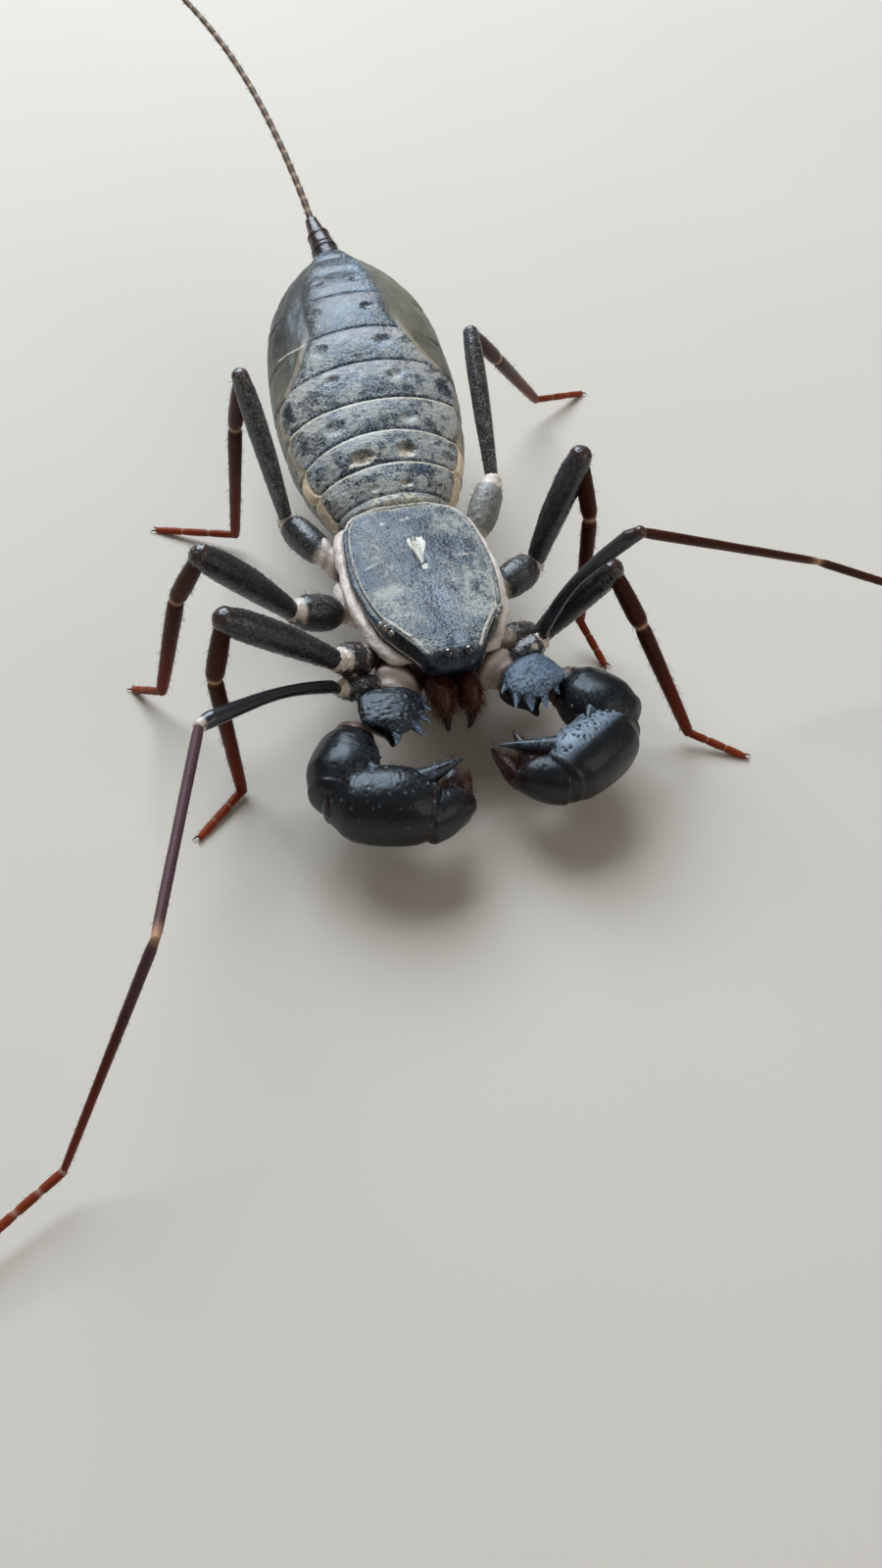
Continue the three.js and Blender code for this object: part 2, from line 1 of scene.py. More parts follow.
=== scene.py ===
"""Looks of a giant whip scorpion (vinegaroon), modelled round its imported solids.

Shapes are worked out in millimetres in the animal's own frame: the origin is on the floor under the
hind edge of the head shield, the animal faces -Y, its left side is at +X and Z is height. Model.build()
turns them into metres in the row's frame.
"""

import logging
import math
from dataclasses import dataclass, field
from enum import Enum
from typing import Any, Callable, Sequence

import bpy
import numpy as np
from mathutils import Matrix, Vector


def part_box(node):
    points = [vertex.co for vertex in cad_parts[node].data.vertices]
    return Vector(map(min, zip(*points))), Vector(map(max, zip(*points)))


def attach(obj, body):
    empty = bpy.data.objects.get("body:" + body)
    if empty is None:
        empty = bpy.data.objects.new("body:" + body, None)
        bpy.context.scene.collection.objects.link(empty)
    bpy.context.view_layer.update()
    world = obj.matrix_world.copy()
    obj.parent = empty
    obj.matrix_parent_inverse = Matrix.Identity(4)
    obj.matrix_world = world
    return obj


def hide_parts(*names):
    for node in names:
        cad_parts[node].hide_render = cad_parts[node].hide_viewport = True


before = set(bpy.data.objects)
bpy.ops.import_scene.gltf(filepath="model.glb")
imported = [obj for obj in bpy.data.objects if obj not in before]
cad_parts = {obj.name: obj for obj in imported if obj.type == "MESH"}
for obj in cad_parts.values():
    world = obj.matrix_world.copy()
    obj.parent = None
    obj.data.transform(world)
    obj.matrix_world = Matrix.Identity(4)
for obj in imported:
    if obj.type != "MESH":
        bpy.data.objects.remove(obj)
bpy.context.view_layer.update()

log = logging.getLogger("whip_scorpion")

Array = np.ndarray
Colour = tuple[float, float, float]
Point = tuple[float, float, float]
Table = tuple[tuple[float, ...], ...]

MM = 0.001                       # metres in a millimetre
FLOOR_GAP = 0.004                # least height of any piece over the floor, in millimetres
UP = np.array([0.0, 0.0, 1.0])
FORWARD = np.array([0.0, -1.0, 0.0])


# ---------------------------------------------------------------- named options


class Side(Enum):
    """Side of the animal, as the sign of X on that side."""

    RIGHT = -1
    LEFT = 1

    @property
    def word(self) -> str:
        """The side's name as the nodes spell it."""
        return self.name.lower()

    def at(self, out: float, forward: float, up: float) -> Array:
        """Place at some distance outwards, forwards and up from the frame's origin."""
        return np.array([self.value * out, -forward, up])


class Layer(Enum):
    """Surface layers that the finishes read. Each is 0 where it has no say."""

    PALE = "pale"          # membrane and cream lines, and painted highlights on the claw arms and the abdomen's thin fold
    DUST_AND_SHEEN = "dust_and_sheen"          # cream dust caught in the grain, and painted sheen on upward faces
    WARM = "warm"          # towards red-brown
    SHINE = "shine"        # polished
    SEAM = "seam"          # 1 on a cream seam, falling to 0 a millimetre away
    DARK_AND_SHADE = "dark_and_shade"      # dark pits and marks, and painted shade in grooves, creases and on faces turned from the light
    OCHRE = "ochre"        # earth caught in the pits
    SOFT = "soft"          # leathery skin between plates


# ---------------------------------------------------------------- curves and patterns


def along(table: Table, share: Array | float) -> Array:
    """Reads a table of (share, value) pairs with a smooth curve through them.

    Args:
        table: pairs in rising order of share.
        share: where to read it.

    Returns:
        The values at those shares.
    """
    knots = np.array(table, float)
    at, value = knots[:, 0], knots[:, 1]
    slope = np.empty(len(at))
    slope[1:-1] = (value[2:] - value[:-2]) / (at[2:] - at[:-2])
    slope[0] = (value[1] - value[0]) / (at[1] - at[0])
    slope[-1] = (value[-1] - value[-2]) / (at[-1] - at[-2])
    share = np.asarray(share, float)
    i = np.clip(np.searchsorted(at, share, side="right") - 1, 0, len(at) - 2)
    span = at[i + 1] - at[i]
    u = np.clip((share - at[i]) / span, 0, 1)
    leaving = span * slope[i] * (u - 2 * u**2 + u**3)
    arriving = span * slope[i + 1] * (u**3 - u**2)
    return value[i] + (value[i + 1] - value[i]) * (3 * u**2 - 2 * u**3) + leaving + arriving


def ease(x: Array | float, low: float, high: float) -> Array:
    """Smooth step from 0 at low to 1 at high, which may be the smaller."""
    u = np.clip((np.asarray(x, float) - low) / (high - low), 0, 1)
    return u * u * (3 - 2 * u)


def hump(x: Array | float, centre: Array | float, width: float) -> Array:
    """Bell of height 1 at centre that has mostly gone at width."""
    return np.exp(-(((np.asarray(x) - centre) / width) ** 2))


def unit(v: Array | Sequence[float]) -> Array:
    """The vector, or each vector of an array, at length 1."""
    v = np.asarray(v, float)
    return v / np.maximum(np.linalg.norm(v, axis=-1, keepdims=True), 1e-12)


def axes_along(direction: Array) -> tuple[Array, Array]:
    """Level and upward axes square to a direction, or to each of several."""
    across = unit(np.cross(direction, UP))
    return across, unit(np.cross(across, direction))


class Pattern:
    """Repeatable patterns in space, worked out from whole-number cells."""

    @staticmethod
    def _lot(cell: Array, seed: int) -> Array:
        """A whole number drawn for each cell.

        Args:
            cell: whole-number places.
            seed: which draw.

        Returns:
            The number of each cell.
        """
        c = cell.astype(np.int64).astype(np.uint32)
        h = (c[..., 0] * np.uint32(73856093)) ^ (c[..., 1] * np.uint32(19349663))
        h ^= (c[..., 2] * np.uint32(83492791)) ^ np.uint32(seed * 40503 + 977)
        h = (h ^ (h >> np.uint32(13))) * np.uint32(1274126177)
        h = (h ^ (h >> np.uint32(15))) * np.uint32(2246822519)
        return h ^ (h >> np.uint32(16))

    @classmethod
    def clouds(cls, points: Array, size: float, seed: int, octaves: int = 3) -> Array:
        """Soft uneven pattern.

        Args:
            points: places, in millimetres.
            size: width of the largest blotches.
            seed: which pattern.
            octaves: how many ever finer layers it has.

        Returns:
            Values from about -1 to 1.
        """
        total = np.zeros(points.shape[:-1])
        weight = 1.0
        for octave in range(octaves):
            q = points / size * 2**octave
            cell = np.floor(q)
            f = q - cell
            f = f * f * f * (f * (f * 6 - 15) + 10)
            value = np.zeros_like(total)
            for corner in np.ndindex(2, 2, 2):
                share = np.prod(np.where(np.array(corner) == 1, f, 1 - f), axis=-1)
                lot = cls._lot(cell + np.array(corner), seed + octave)
                value += share * ((lot & np.uint32(0xFFFF)) / 65535.0)
            total += weight * (2 * value - 1)
            weight *= 0.5
        return total / (2 - 2 * weight)

    @classmethod
    def cells(cls, points: Array, size: float, seed: int) -> tuple[Array, Array]:
        """Scattered spots.

        Args:
            points: places, in millimetres.
            size: usual distance between spots.
            seed: which pattern.

        Returns:
            How far each place is from its nearest spot, in sizes, and that spot's own number from 0 to 1.
        """
        q = points / size
        cell = np.floor(q)
        side = np.where(q - cell > 0.5, 1.0, -1.0)
        best = np.full(points.shape[:-1], 9.0)
        own = np.zeros_like(best)
        for corner in np.ndindex(2, 2, 2):
            home = cell + np.array(corner) * side
            lot = cls._lot(home, seed)
            spot = np.stack([(lot >> np.uint32(s)) & np.uint32(0xFF) for s in (0, 8, 16)], -1) / 255.0
            gap = np.linalg.norm(home + 0.15 + 0.7 * spot - q, axis=-1)
            nearer = gap < best
            best = np.where(nearer, gap, best)
            own = np.where(nearer, (lot >> np.uint32(24)) / 255.0, own)
        return best, own

    @classmethod
    def granules(cls, points: Array, size: float, seed: int, cover: float = 1.0) -> Array:
        """Rounded grains from 0 to 1, on a share of the surface given by cover.

        Args:
            points: places, in millimetres.
            size: usual distance between grains.
            seed: which pattern.
            cover: share of the grains that are there.

        Returns:
            Height of the grains at each place.
        """
        gap, own = cls.cells(points, size, seed)
        dome = np.clip(1 - (gap / 0.55) ** 2, 0, 1)
        return dome * (own < cover) * (0.55 + 0.45 * own / max(cover, 0.05))


# ---------------------------------------------------------------- surfaces and meshes


@dataclass
class Skin:
    """Closed surface on a grid: rows run along the piece and columns run round it."""

    points: Array
    layers: dict[Layer, Array] = field(default_factory=dict)
    shares: Array = field(default_factory=lambda: np.zeros(0))

    def normals(self) -> Array:
        """Outward unit vector at each point of the grid.

        Returns:
            The vectors, in the grid's order.
        """
        lengthwise = np.gradient(self.points, axis=0)
        round_it = np.roll(self.points, -1, axis=1) - np.roll(self.points, 1, axis=1)
        return unit(np.cross(lengthwise, round_it))

    def clouds(self, size: float, seed: int, octaves: int = 3, stretch: Point = (1.0, 1.0, 1.0)) -> Array:
        """Pattern.clouds() over the skin, with space stretched along the axes."""
        return Pattern.clouds(self.points * np.array(stretch), size, seed, octaves)

    def swell(self, height: Array | float) -> "Skin":
        """Moves each point outwards by a height in millimetres."""
        self.points = self.points + self.normals() * np.broadcast_to(height, self.points.shape[:2])[..., None]
        return self

    def paint(self, layer: Layer, amount: Array | float) -> "Skin":
        """Adds to a layer, where the stronger of the old and the new stays.

        Args:
            layer: which one.
            amount: its strength from 0 to 1, over the whole grid or as a row, a column or a number.

        Returns:
            This skin.
        """
        amount = np.broadcast_to(np.clip(amount, 0, 1), self.points.shape[:2])
        self.layers[layer] = np.maximum(self.layers.get(layer, 0.0), amount)
        return self

    def grainy(self, size: float, height: float, seed: int, cover: float = 1.0, gloss: float = 0.0) -> "Skin":
        """Covers the skin with rounded grains, sized in millimetres, whose tops may be polished."""
        grains = Pattern.granules(self.points, size, seed, cover)
        return self.paint(Layer.SHINE, gloss * grains).swell(height * grains)

    def above(self, height: float) -> "Skin":
        """Keeps every point at or above a height over the floor."""
        self.points[..., 2] = np.maximum(self.points[..., 2], height)
        return self

    @property
    def share(self) -> Array:
        """Share of the length of each row, as a column."""
        return self.shares[:, None]

    @property
    def turn(self) -> Array:
        """Angle of each column, as a row, where 0 is across and a quarter turn is up."""
        columns = self.points.shape[1]
        return (2 * math.pi * (np.arange(columns) + 0.5) / columns)[None, :]


def sweep(
    centres: Array, across: Array, upward: Array, wide: Array, high: Array, columns: int,
    corner: float = 2.0,
) -> Array:
    """Grid of points of rounded sections along a line.

    Args:
        centres: middle of each section.
        across: unit vector across each section.
        upward: unit vector up each section.
        wide: half width of each section.
        high: half height of each section.
        columns: points round a section.
        corner: 2 for an oval, more for a squarer section.

    Returns:
        The grid, as rows x columns x 3.
    """
    angle = 2 * math.pi * (np.arange(columns) + 0.5) / columns
    cos, sin = np.cos(angle), np.sin(angle)
    a = np.sign(cos) * np.abs(cos) ** (2 / corner)
    b = np.sign(sin) * np.abs(sin) ** (2 / corner)
    across = np.broadcast_to(across, centres.shape)
    upward = np.broadcast_to(upward, centres.shape)
    side = across[:, None] * (wide[:, None] * a)[..., None]
    lift = upward[:, None] * (high[:, None] * b)[..., None]
    return centres[:, None] + side + lift


def shares_of(rows: int, ends: float = 0.5) -> Array:
    """Shares from 0 to 1 that lie closer together near both ends."""
    even = np.linspace(0, 1, rows)
    return (1 - ends) * even + ends * (0.5 - 0.5 * np.cos(math.pi * even))


@dataclass
class Limb:
    """Straight length of limb with rounded ends.

    The shape is a table of (share of the length, half width, half height, rise), in millimetres.
    """

    start: Array
    end: Array
    shape: Sequence[Sequence[float]]
    rows: int = 90
    columns: int = 48
    cap: float = 0.5              # length of a rounded end, in half widths
    corner: float = 2.0

    def skin(self) -> Skin:
        """The limb's surface.

        Returns:
            The skin, whose shares run past 0 and 1 on the rounded ends.
        """
        run = np.asarray(self.end, float) - np.asarray(self.start, float)
        length = float(np.linalg.norm(run))
        ahead = run / length
        across, upward = axes_along(ahead)
        t = shares_of(self.rows, 0.7)
        first, last = self.shape[0], self.shape[-1]
        front, back = self.cap * first[1] / length, self.cap * last[1] / length
        full = -front + t * (1 + front + back)
        inner = np.clip(full, 0, 1)
        columns = [tuple((s[0], s[k] if k < len(s) else 0.0) for s in self.shape) for k in (1, 2, 3)]
        wide, high, rise = (along(c, inner) for c in columns)
        dome = np.ones_like(t)
        dome = np.where(full < 0, np.sqrt(np.clip(1 - (full / -front) ** 2, 0, 1)), dome)
        dome = np.where(full > 1, np.sqrt(np.clip(1 - ((full - 1) / back) ** 2, 0, 1)), dome)
        dome = np.maximum(dome, 0.02)
        centres = np.asarray(self.start, float) + full[:, None] * run + rise[:, None] * upward
        grid = sweep(centres, across, upward, wide * dome, high * dome, self.columns, self.corner)
        return Skin(grid, shares=full)


def thorn(
    root: Array, tip: Array, thick: float, thin: float, bend: Array | None = None,
    flare: float = 0.35, rows: int = 30, columns: int = 18, flat: float = 1.0,
) -> Skin:
    """Tapering spike from a root to a tip.

    Args:
        root: middle of its foot.
        tip: its point.
        thick: half thickness at the foot.
        thin: half thickness at the point.
        bend: how far its middle is pushed aside.
        flare: share by which the foot spreads.
        rows: rows along it.
        columns: points round it.
        flat: its height as a share of its width.

    Returns:
        The spike's surface.
    """
    t = np.linspace(0, 1, rows)
    push = np.zeros(3) if bend is None else np.asarray(bend, float)
    centres = root + t[:, None] * (tip - root) + (4 * t * (1 - t))[:, None] * push
    ahead = unit(np.gradient(centres, axis=0))
    across, upward = axes_along(ahead)
    girth = thin + (thick - thin) * (1 - t) ** 0.9 * (1 + flare * np.exp(-t / 0.12))
    girth = girth * np.sqrt(np.clip(1 - ((t - 0.9) / 0.1) ** 2, 0.02, 1) * (t > 0.9) + (t <= 0.9))
    return Skin(sweep(centres, across, upward, girth, flat * girth, columns), shares=t)


def ball(centre: Array, radii: Array, axis: Array = UP, rows: int = 28, columns: int = 36) -> Skin:
    """Egg shape.

    Args:
        centre: its middle.
        radii: half sizes along the axis, across it and square to both.
        axis: direction of its poles.
        rows: rows from pole to pole.
        columns: points round it.

    Returns:
        The egg's surface.
    """
    ahead = unit(axis)
    across = np.cross(ahead, UP)
    across = unit(across) if np.linalg.norm(across) > 1e-3 else np.array([1.0, 0.0, 0.0])
    upward = np.cross(across, ahead)
    angle = np.linspace(0.03, math.pi - 0.03, rows)
    centres = centre - ahead * (np.cos(angle) * radii[0])[:, None]
    ring = np.sin(angle)
    return Skin(
        sweep(centres, across, upward, ring * radii[1], ring * radii[2], columns),
        shares=np.linspace(0, 1, rows),
    )


@dataclass(frozen=True)
class Place:
    """Where the animal's own frame lies in the row's frame, in metres."""

    origin: Vector

    @classmethod
    def from_shield(cls) -> "Place":
        """Reads the place off the head shield, whose hind edge is at the frame's origin."""
        low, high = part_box("carapace")
        return cls(Vector(((low.x + high.x) / 2, high.y, 0.0)))

    def metres(self, points: Array) -> Array:
        """Turns millimetres in the animal's frame into metres in the row's."""
        return points.reshape(-1, 3) * MM + np.array(self.origin)


PLACE = Place.from_shield()


def object_from(name: str, points: Array, faces: Array, totals: Array, uv: Array) -> bpy.types.Object:
    """Makes a smooth mesh object.

    Args:
        name: name of the object.
        points: places of its corners, in millimetres.
        faces: corner numbers of all faces, one after another.
        totals: how many corners each face has.
        uv: place of each face's corners on the map, in the order of faces.

    Returns:
        The object, linked to the scene.
    """
    mesh = bpy.data.meshes.new(name)
    mesh.vertices.add(len(points))
    mesh.vertices.foreach_set("co", PLACE.metres(points).astype(np.float32).ravel())
    mesh.loops.add(len(faces))
    mesh.loops.foreach_set("vertex_index", faces.astype(np.int32))
    mesh.polygons.add(len(totals))
    starts = np.concatenate([[0], np.cumsum(totals)[:-1]]).astype(np.int32)
    mesh.polygons.foreach_set("loop_start", starts)
    mesh.polygons.foreach_set("use_smooth", np.ones(len(totals), bool))
    mesh.update(calc_edges=True)
    layer = mesh.uv_layers.new(name="OFBake")
    layer.data.foreach_set("uv", uv.astype(np.float32).ravel())
    obj = bpy.data.objects.new(name, mesh)
    bpy.context.scene.collection.objects.link(obj)
    return obj


class Model:
    """Skins joined into one piece of the animal.

    Each skin has its own band of the map, as tall as its share of the piece.
    """

    LEFT, WIDE = 0.01, 0.98          # share of the map's width left of the skin, and that it fills
    LOW, HIGH = 0.02, 0.96           # share of its band below the skin, and that it fills

    def __init__(self, *skins: Skin) -> None:
        """Starts the piece with some skins."""
        self.skins: list[Skin] = list(skins)

    def add(self, *skins: Skin) -> "Model":
        """Adds more skins."""
        self.skins.extend(skins)
        return self

    def build(self, name: str, slot: str, finish: "Cuticle", nodes: Sequence[str] = ()) -> bpy.types.Object:
        """Makes the piece's object, dresses it and lets it ride on the body.

        Args:
            name: name of the piece.
            slot: the record's material slot.
            finish: how its surface looks.
            nodes: solids that it stands for.

        Returns:
            The finished object.
        """
        points, faces, totals, uvs = [], [], [], []
        layers: dict[Layer, list[Array]] = {layer: [] for layer in Layer}
        sizes = np.array([self._area(s) for s in self.skins]) ** 0.5
        bands = np.maximum(sizes / sizes.sum(), 0.02)
        bands = bands / bands.sum()
        base, floor = 0, 0.0
        for skin, tall in zip(self.skins, bands):
            grid = skin.points.shape[:2]
            hubs = [skin.points[0].mean(0), skin.points[-1].mean(0)]
            points.append(np.vstack([skin.points.reshape(-1, 3), hubs]))
            for layer in Layer:
                value = skin.layers.get(layer, np.zeros(grid))
                layers[layer].append(np.concatenate([value.ravel(), [value[0].mean(), value[-1].mean()]]))
            corners, counts = self._faces(*grid)
            faces.append(corners + base)
            totals.append(counts)
            uvs.append(self._map(*grid, floor, tall))
            base += len(points[-1])
            floor += tall
        faces, totals = np.concatenate(faces), np.concatenate(totals)
        obj = object_from(name, np.vstack(points), faces, totals, np.vstack(uvs))
        for layer, values in layers.items():
            value = np.concatenate(values)
            if value.any():
                attribute = obj.data.attributes.new(layer.value, "FLOAT", "POINT")
                attribute.data.foreach_set("value", value.astype(np.float32))
        return dress(obj, slot, finish.material(), nodes)

    @staticmethod
    def _faces(rows: int, columns: int) -> tuple[Array, Array]:
        """Faces of a grid that is closed by a fan at each end.

        Args:
            rows: rows of the grid, which the two hubs of the fans follow.
            columns: columns of the grid.

        Returns:
            Corner numbers of all faces, one after another, and how many corners each has.
        """
        i, j = np.meshgrid(np.arange(rows - 1), np.arange(columns), indexing="ij")
        k = (j + 1) % columns
        here, next_row = i * columns, (i + 1) * columns
        quads = np.stack([here + j, next_row + j, next_row + k, here + k], -1)
        around = np.arange(columns)
        beyond = (around + 1) % columns
        last = (rows - 1) * columns
        foot = np.stack([np.full(columns, rows * columns), around, beyond], -1)
        head = np.stack([np.full(columns, rows * columns + 1), last + beyond, last + around], -1)
        corners = np.concatenate([quads.reshape(-1), foot.reshape(-1), head.reshape(-1)])
        return corners, np.concatenate([np.full(quads.size // 4, 4), np.full(2 * columns, 3)])

    @classmethod
    def _map(cls, rows: int, columns: int, floor: float, tall: float) -> Array:
        """Map of a grid's faces, in the order of _faces().

        Args:
            rows: rows of the grid.
            columns: columns of the grid.
            floor: where its band of the map starts.
            tall: height of the band.

        Returns:
            Place of each face's corners on the map.
        """
        i, j = np.meshgrid(np.arange(rows - 1), np.arange(columns), indexing="ij")
        v = floor + tall * (cls.LOW + cls.HIGH * (np.stack([i, i + 1, i + 1, i], -1) + 0.5) / rows)
        u = cls.LEFT + cls.WIDE * np.stack([j, j, j + 1, j + 1], -1) / columns
        around = np.arange(columns)
        fan_u = cls.LEFT + cls.WIDE * np.stack([around + 0.5, around, around + 1], -1) / columns
        fan_v = 0.5 * cls.HIGH / rows * np.tile([0.0, 1.0, 1.0], (columns, 1))
        foot_v = floor + tall * (cls.LOW + fan_v)
        head_v = floor + tall * (cls.LOW + cls.HIGH - fan_v)
        parts = ((u, v), (fan_u, foot_v), (fan_u[:, [0, 2, 1]], head_v))
        return np.vstack([np.stack(part, -1).reshape(-1, 2) for part in parts])

    @staticmethod
    def _area(skin: Skin) -> float:
        """Rough area of a skin.

        Args:
            skin: the skin to measure.

        Returns:
            Its length times its girth.
        """
        length = np.linalg.norm(np.diff(skin.points, axis=0), axis=-1).sum(0).mean()
        girth = np.linalg.norm(np.diff(skin.points, axis=1), axis=-1).sum(1).mean()
        return float(length * girth)


def dress(
    obj: bpy.types.Object, slot: str, material: bpy.types.Material, nodes: Sequence[str] = (),
) -> bpy.types.Object:
    """Gives an object its material and its body, and hides the solids that it stands for.

    Args:
        obj: the object.
        slot: the record's material slot; not used.
        material: its finish.
        nodes: solids that it stands for.

    Returns:
        The same object.
    """
    obj.data.materials.append(material)
    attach(obj, "root")
    if nodes:
        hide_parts(*nodes)
    log.info("%s: %d faces", obj.name, len(obj.data.polygons))
    return obj


@dataclass
class Coat:
    """Stiff bristles, as one mesh of thin bent spikes."""

    name: str
    seed: int
    roots: list[Array] = field(default_factory=list)
    mids: list[Array] = field(default_factory=list)
    tips: list[Array] = field(default_factory=list)
    girths: list[Array] = field(default_factory=list)
    maps: list[Array] = field(default_factory=list)
    tiles: int = 0

    GRID = 12                 # tiles along a side of the map, one to a host
    PATCH = 0.003             # width of a bristle's patch on the map
    STRAY = 0.22              # how far bristles stray from their common way
    SUNK = 0.03               # depth of the roots in the skin, in millimetres
    BEND = 0.55               # share of the length at which a bristle bends
    WAIST = 0.6               # thickness there, as a share of the root's

    def grow(
        self, host: Skin, count: int, length: tuple[float, float], girth: float, lean: float,
        where: Callable[[Skin], Array] | None = None, droop: float = 0.0,
    ) -> None:
        """Grows bristles from a skin.

        Args:
            host: the skin they stand on.
            count: how many.
            length: shortest and longest, in millimetres.
            girth: half thickness at the root.
            lean: share by which they lean along the limb, from 0 to 1.
            where: how thickly they grow over the skin, or all over.
            droop: how far their tips sink, as a share of the length.
        """
        rng = np.random.default_rng(self.seed + self.tiles)
        rows, columns = host.points.shape[:2]
        step = np.linalg.norm(np.gradient(host.points, axis=0), axis=-1)
        around = np.linalg.norm(np.roll(host.points, -1, 1) - host.points, axis=-1)
        chance = step * around * (where(host) if where else 1.0)
        chance = np.clip(chance, 0, None).ravel()
        if chance.sum() <= 0:
            return
        picked = rng.choice(chance.size, count, p=chance / chance.sum())
        i, j = picked // columns, picked % columns
        normal = host.normals()[i, j]
        ahead = unit(np.gradient(host.points, axis=0))[i, j]
        stray = rng.normal(0, self.STRAY, (count, 3))
        tilt = lean * rng.uniform(0.7, 1.15, count)[:, None]
        way = unit(normal * (1 - 0.5 * tilt) + ahead * tilt + stray)
        size = rng.uniform(*length, count)[:, None]
        root = host.points[i, j] - normal * self.SUNK
        self.roots.append(root)
        self.mids.append(root + way * size * self.BEND)
        self.tips.append(root + unit(way + ahead * 0.35 * lean - UP * droop) * size)
        self.girths.append(np.full(count, girth) * rng.uniform(0.75, 1.2, count))
        column, row = self.tiles % self.GRID, self.tiles // self.GRID
        spot = np.stack([(j + 0.5) / columns, (i + 0.5) / rows], -1)
        self.maps.append((np.array([column, row]) + 0.04 + 0.92 * spot) / self.GRID)
        self.tiles += 1

    def build(self, slot: str, finish: "Cuticle") -> bpy.types.Object:
        """Makes the coat's object.

        Args:
            slot: the record's material slot.
            finish: how the bristles look.

        Returns:
            The finished object.
        """
        roots, mids, tips = (np.vstack(x) for x in (self.roots, self.mids, self.tips))
        girths, maps = np.concatenate(self.girths), np.vstack(self.maps)
        count = len(roots)
        ahead = unit(mids - roots)
        off = np.where(np.abs(ahead[:, 2:3]) > 0.9, np.array([[1.0, 0.0, 0.0]]), UP[None])
        a = unit(np.cross(ahead, off))
        b = np.cross(a, ahead)
        angle = 2 * math.pi * np.arange(3) / 3
        ring = a[:, None] * np.cos(angle)[None, :, None] + b[:, None] * np.sin(angle)[None, :, None]
        low = roots[:, None] + ring * girths[:, None, None]
        middle = mids[:, None] + ring * self.WAIST * girths[:, None, None]
        points = np.concatenate([low, middle, tips[:, None]], 1)
        points[..., 2] = np.maximum(points[..., 2], FLOOR_GAP)
        quads = [(k, (k + 1) % 3, 3 + (k + 1) % 3, 3 + k) for k in range(3)]
        ends = [(3 + k, 3 + (k + 1) % 3, 6) for k in range(3)]
        order = np.array([n for face in [*quads, *ends, (0, 2, 1)] for n in face])
        faces = (np.arange(count)[:, None] * 7 + order[None]).ravel()
        totals = np.tile(np.array([4, 4, 4, 3, 3, 3, 3]), count)
        spots = np.array([[0, 0], [0.5, 0], [1, 0], [0, 0.6], [0.5, 0.6], [1, 0.6], [0.5, 1]]) - 0.5
        uv = maps[:, None] + spots[None] * self.PATCH
        obj = object_from(self.name, points.reshape(-1, 3), faces, totals, uv[:, order].reshape(-1, 2))
        return dress(obj, slot, finish.material())


# ---------------------------------------------------------------- finishes


class Value:
    """A number that varies over a surface, as the socket that gives it."""

    def __init__(self, graph: "Graph", socket: bpy.types.NodeSocket) -> None:
        """Wraps a socket."""
        self.graph = graph
        self.socket = socket

    def _math(self, operation: str, other: "Value | float", swapped: bool = False) -> "Value":
        """Adds a Math node of this value and another, or of the other and this one.

        Args:
            operation: what the node does.
            other: the other value.
            swapped: whether the other value comes first.

        Returns:
            The result.
        """
        pair = (other, self) if swapped else (self, other)
        node = self.graph.node("ShaderNodeMath", {"operation": operation}, {0: pair[0], 1: pair[1]})
        return Value(self.graph, node.outputs[0])

    def __add__(self, other: "Value | float") -> "Value":
        """Sum."""
        return self._math("ADD", other)

    __radd__ = __add__

    def __sub__(self, other: "Value | float") -> "Value":
        """Difference."""
        return self._math("SUBTRACT", other)

    def __rsub__(self, other: float) -> "Value":
        """Difference."""
        return self._math("SUBTRACT", other, swapped=True)

    def __mul__(self, other: "Value | float") -> "Value":
        """Product."""
        return self._math("MULTIPLY", other)

    __rmul__ = __mul__

    def step(self, low: float, high: float) -> "Value":
        """Smooth step from 0 at low to 1 at high.

        Args:
            low: where the step starts.
            high: where it ends.

        Returns:
            The share of the step at each place.
        """
        node = self.graph.node(
            "ShaderNodeMapRange", {"interpolation_type": "SMOOTHSTEP"},
            {"Value": self, "From Min": low, "From Max": high, "To Min": 0.0, "To Max": 1.0},
        )
        return Value(self.graph, node.outputs["Result"])

    def between(self, low: float, high: float) -> "Value":
        """This share of the way from low to high."""
        return self * (high - low) + low


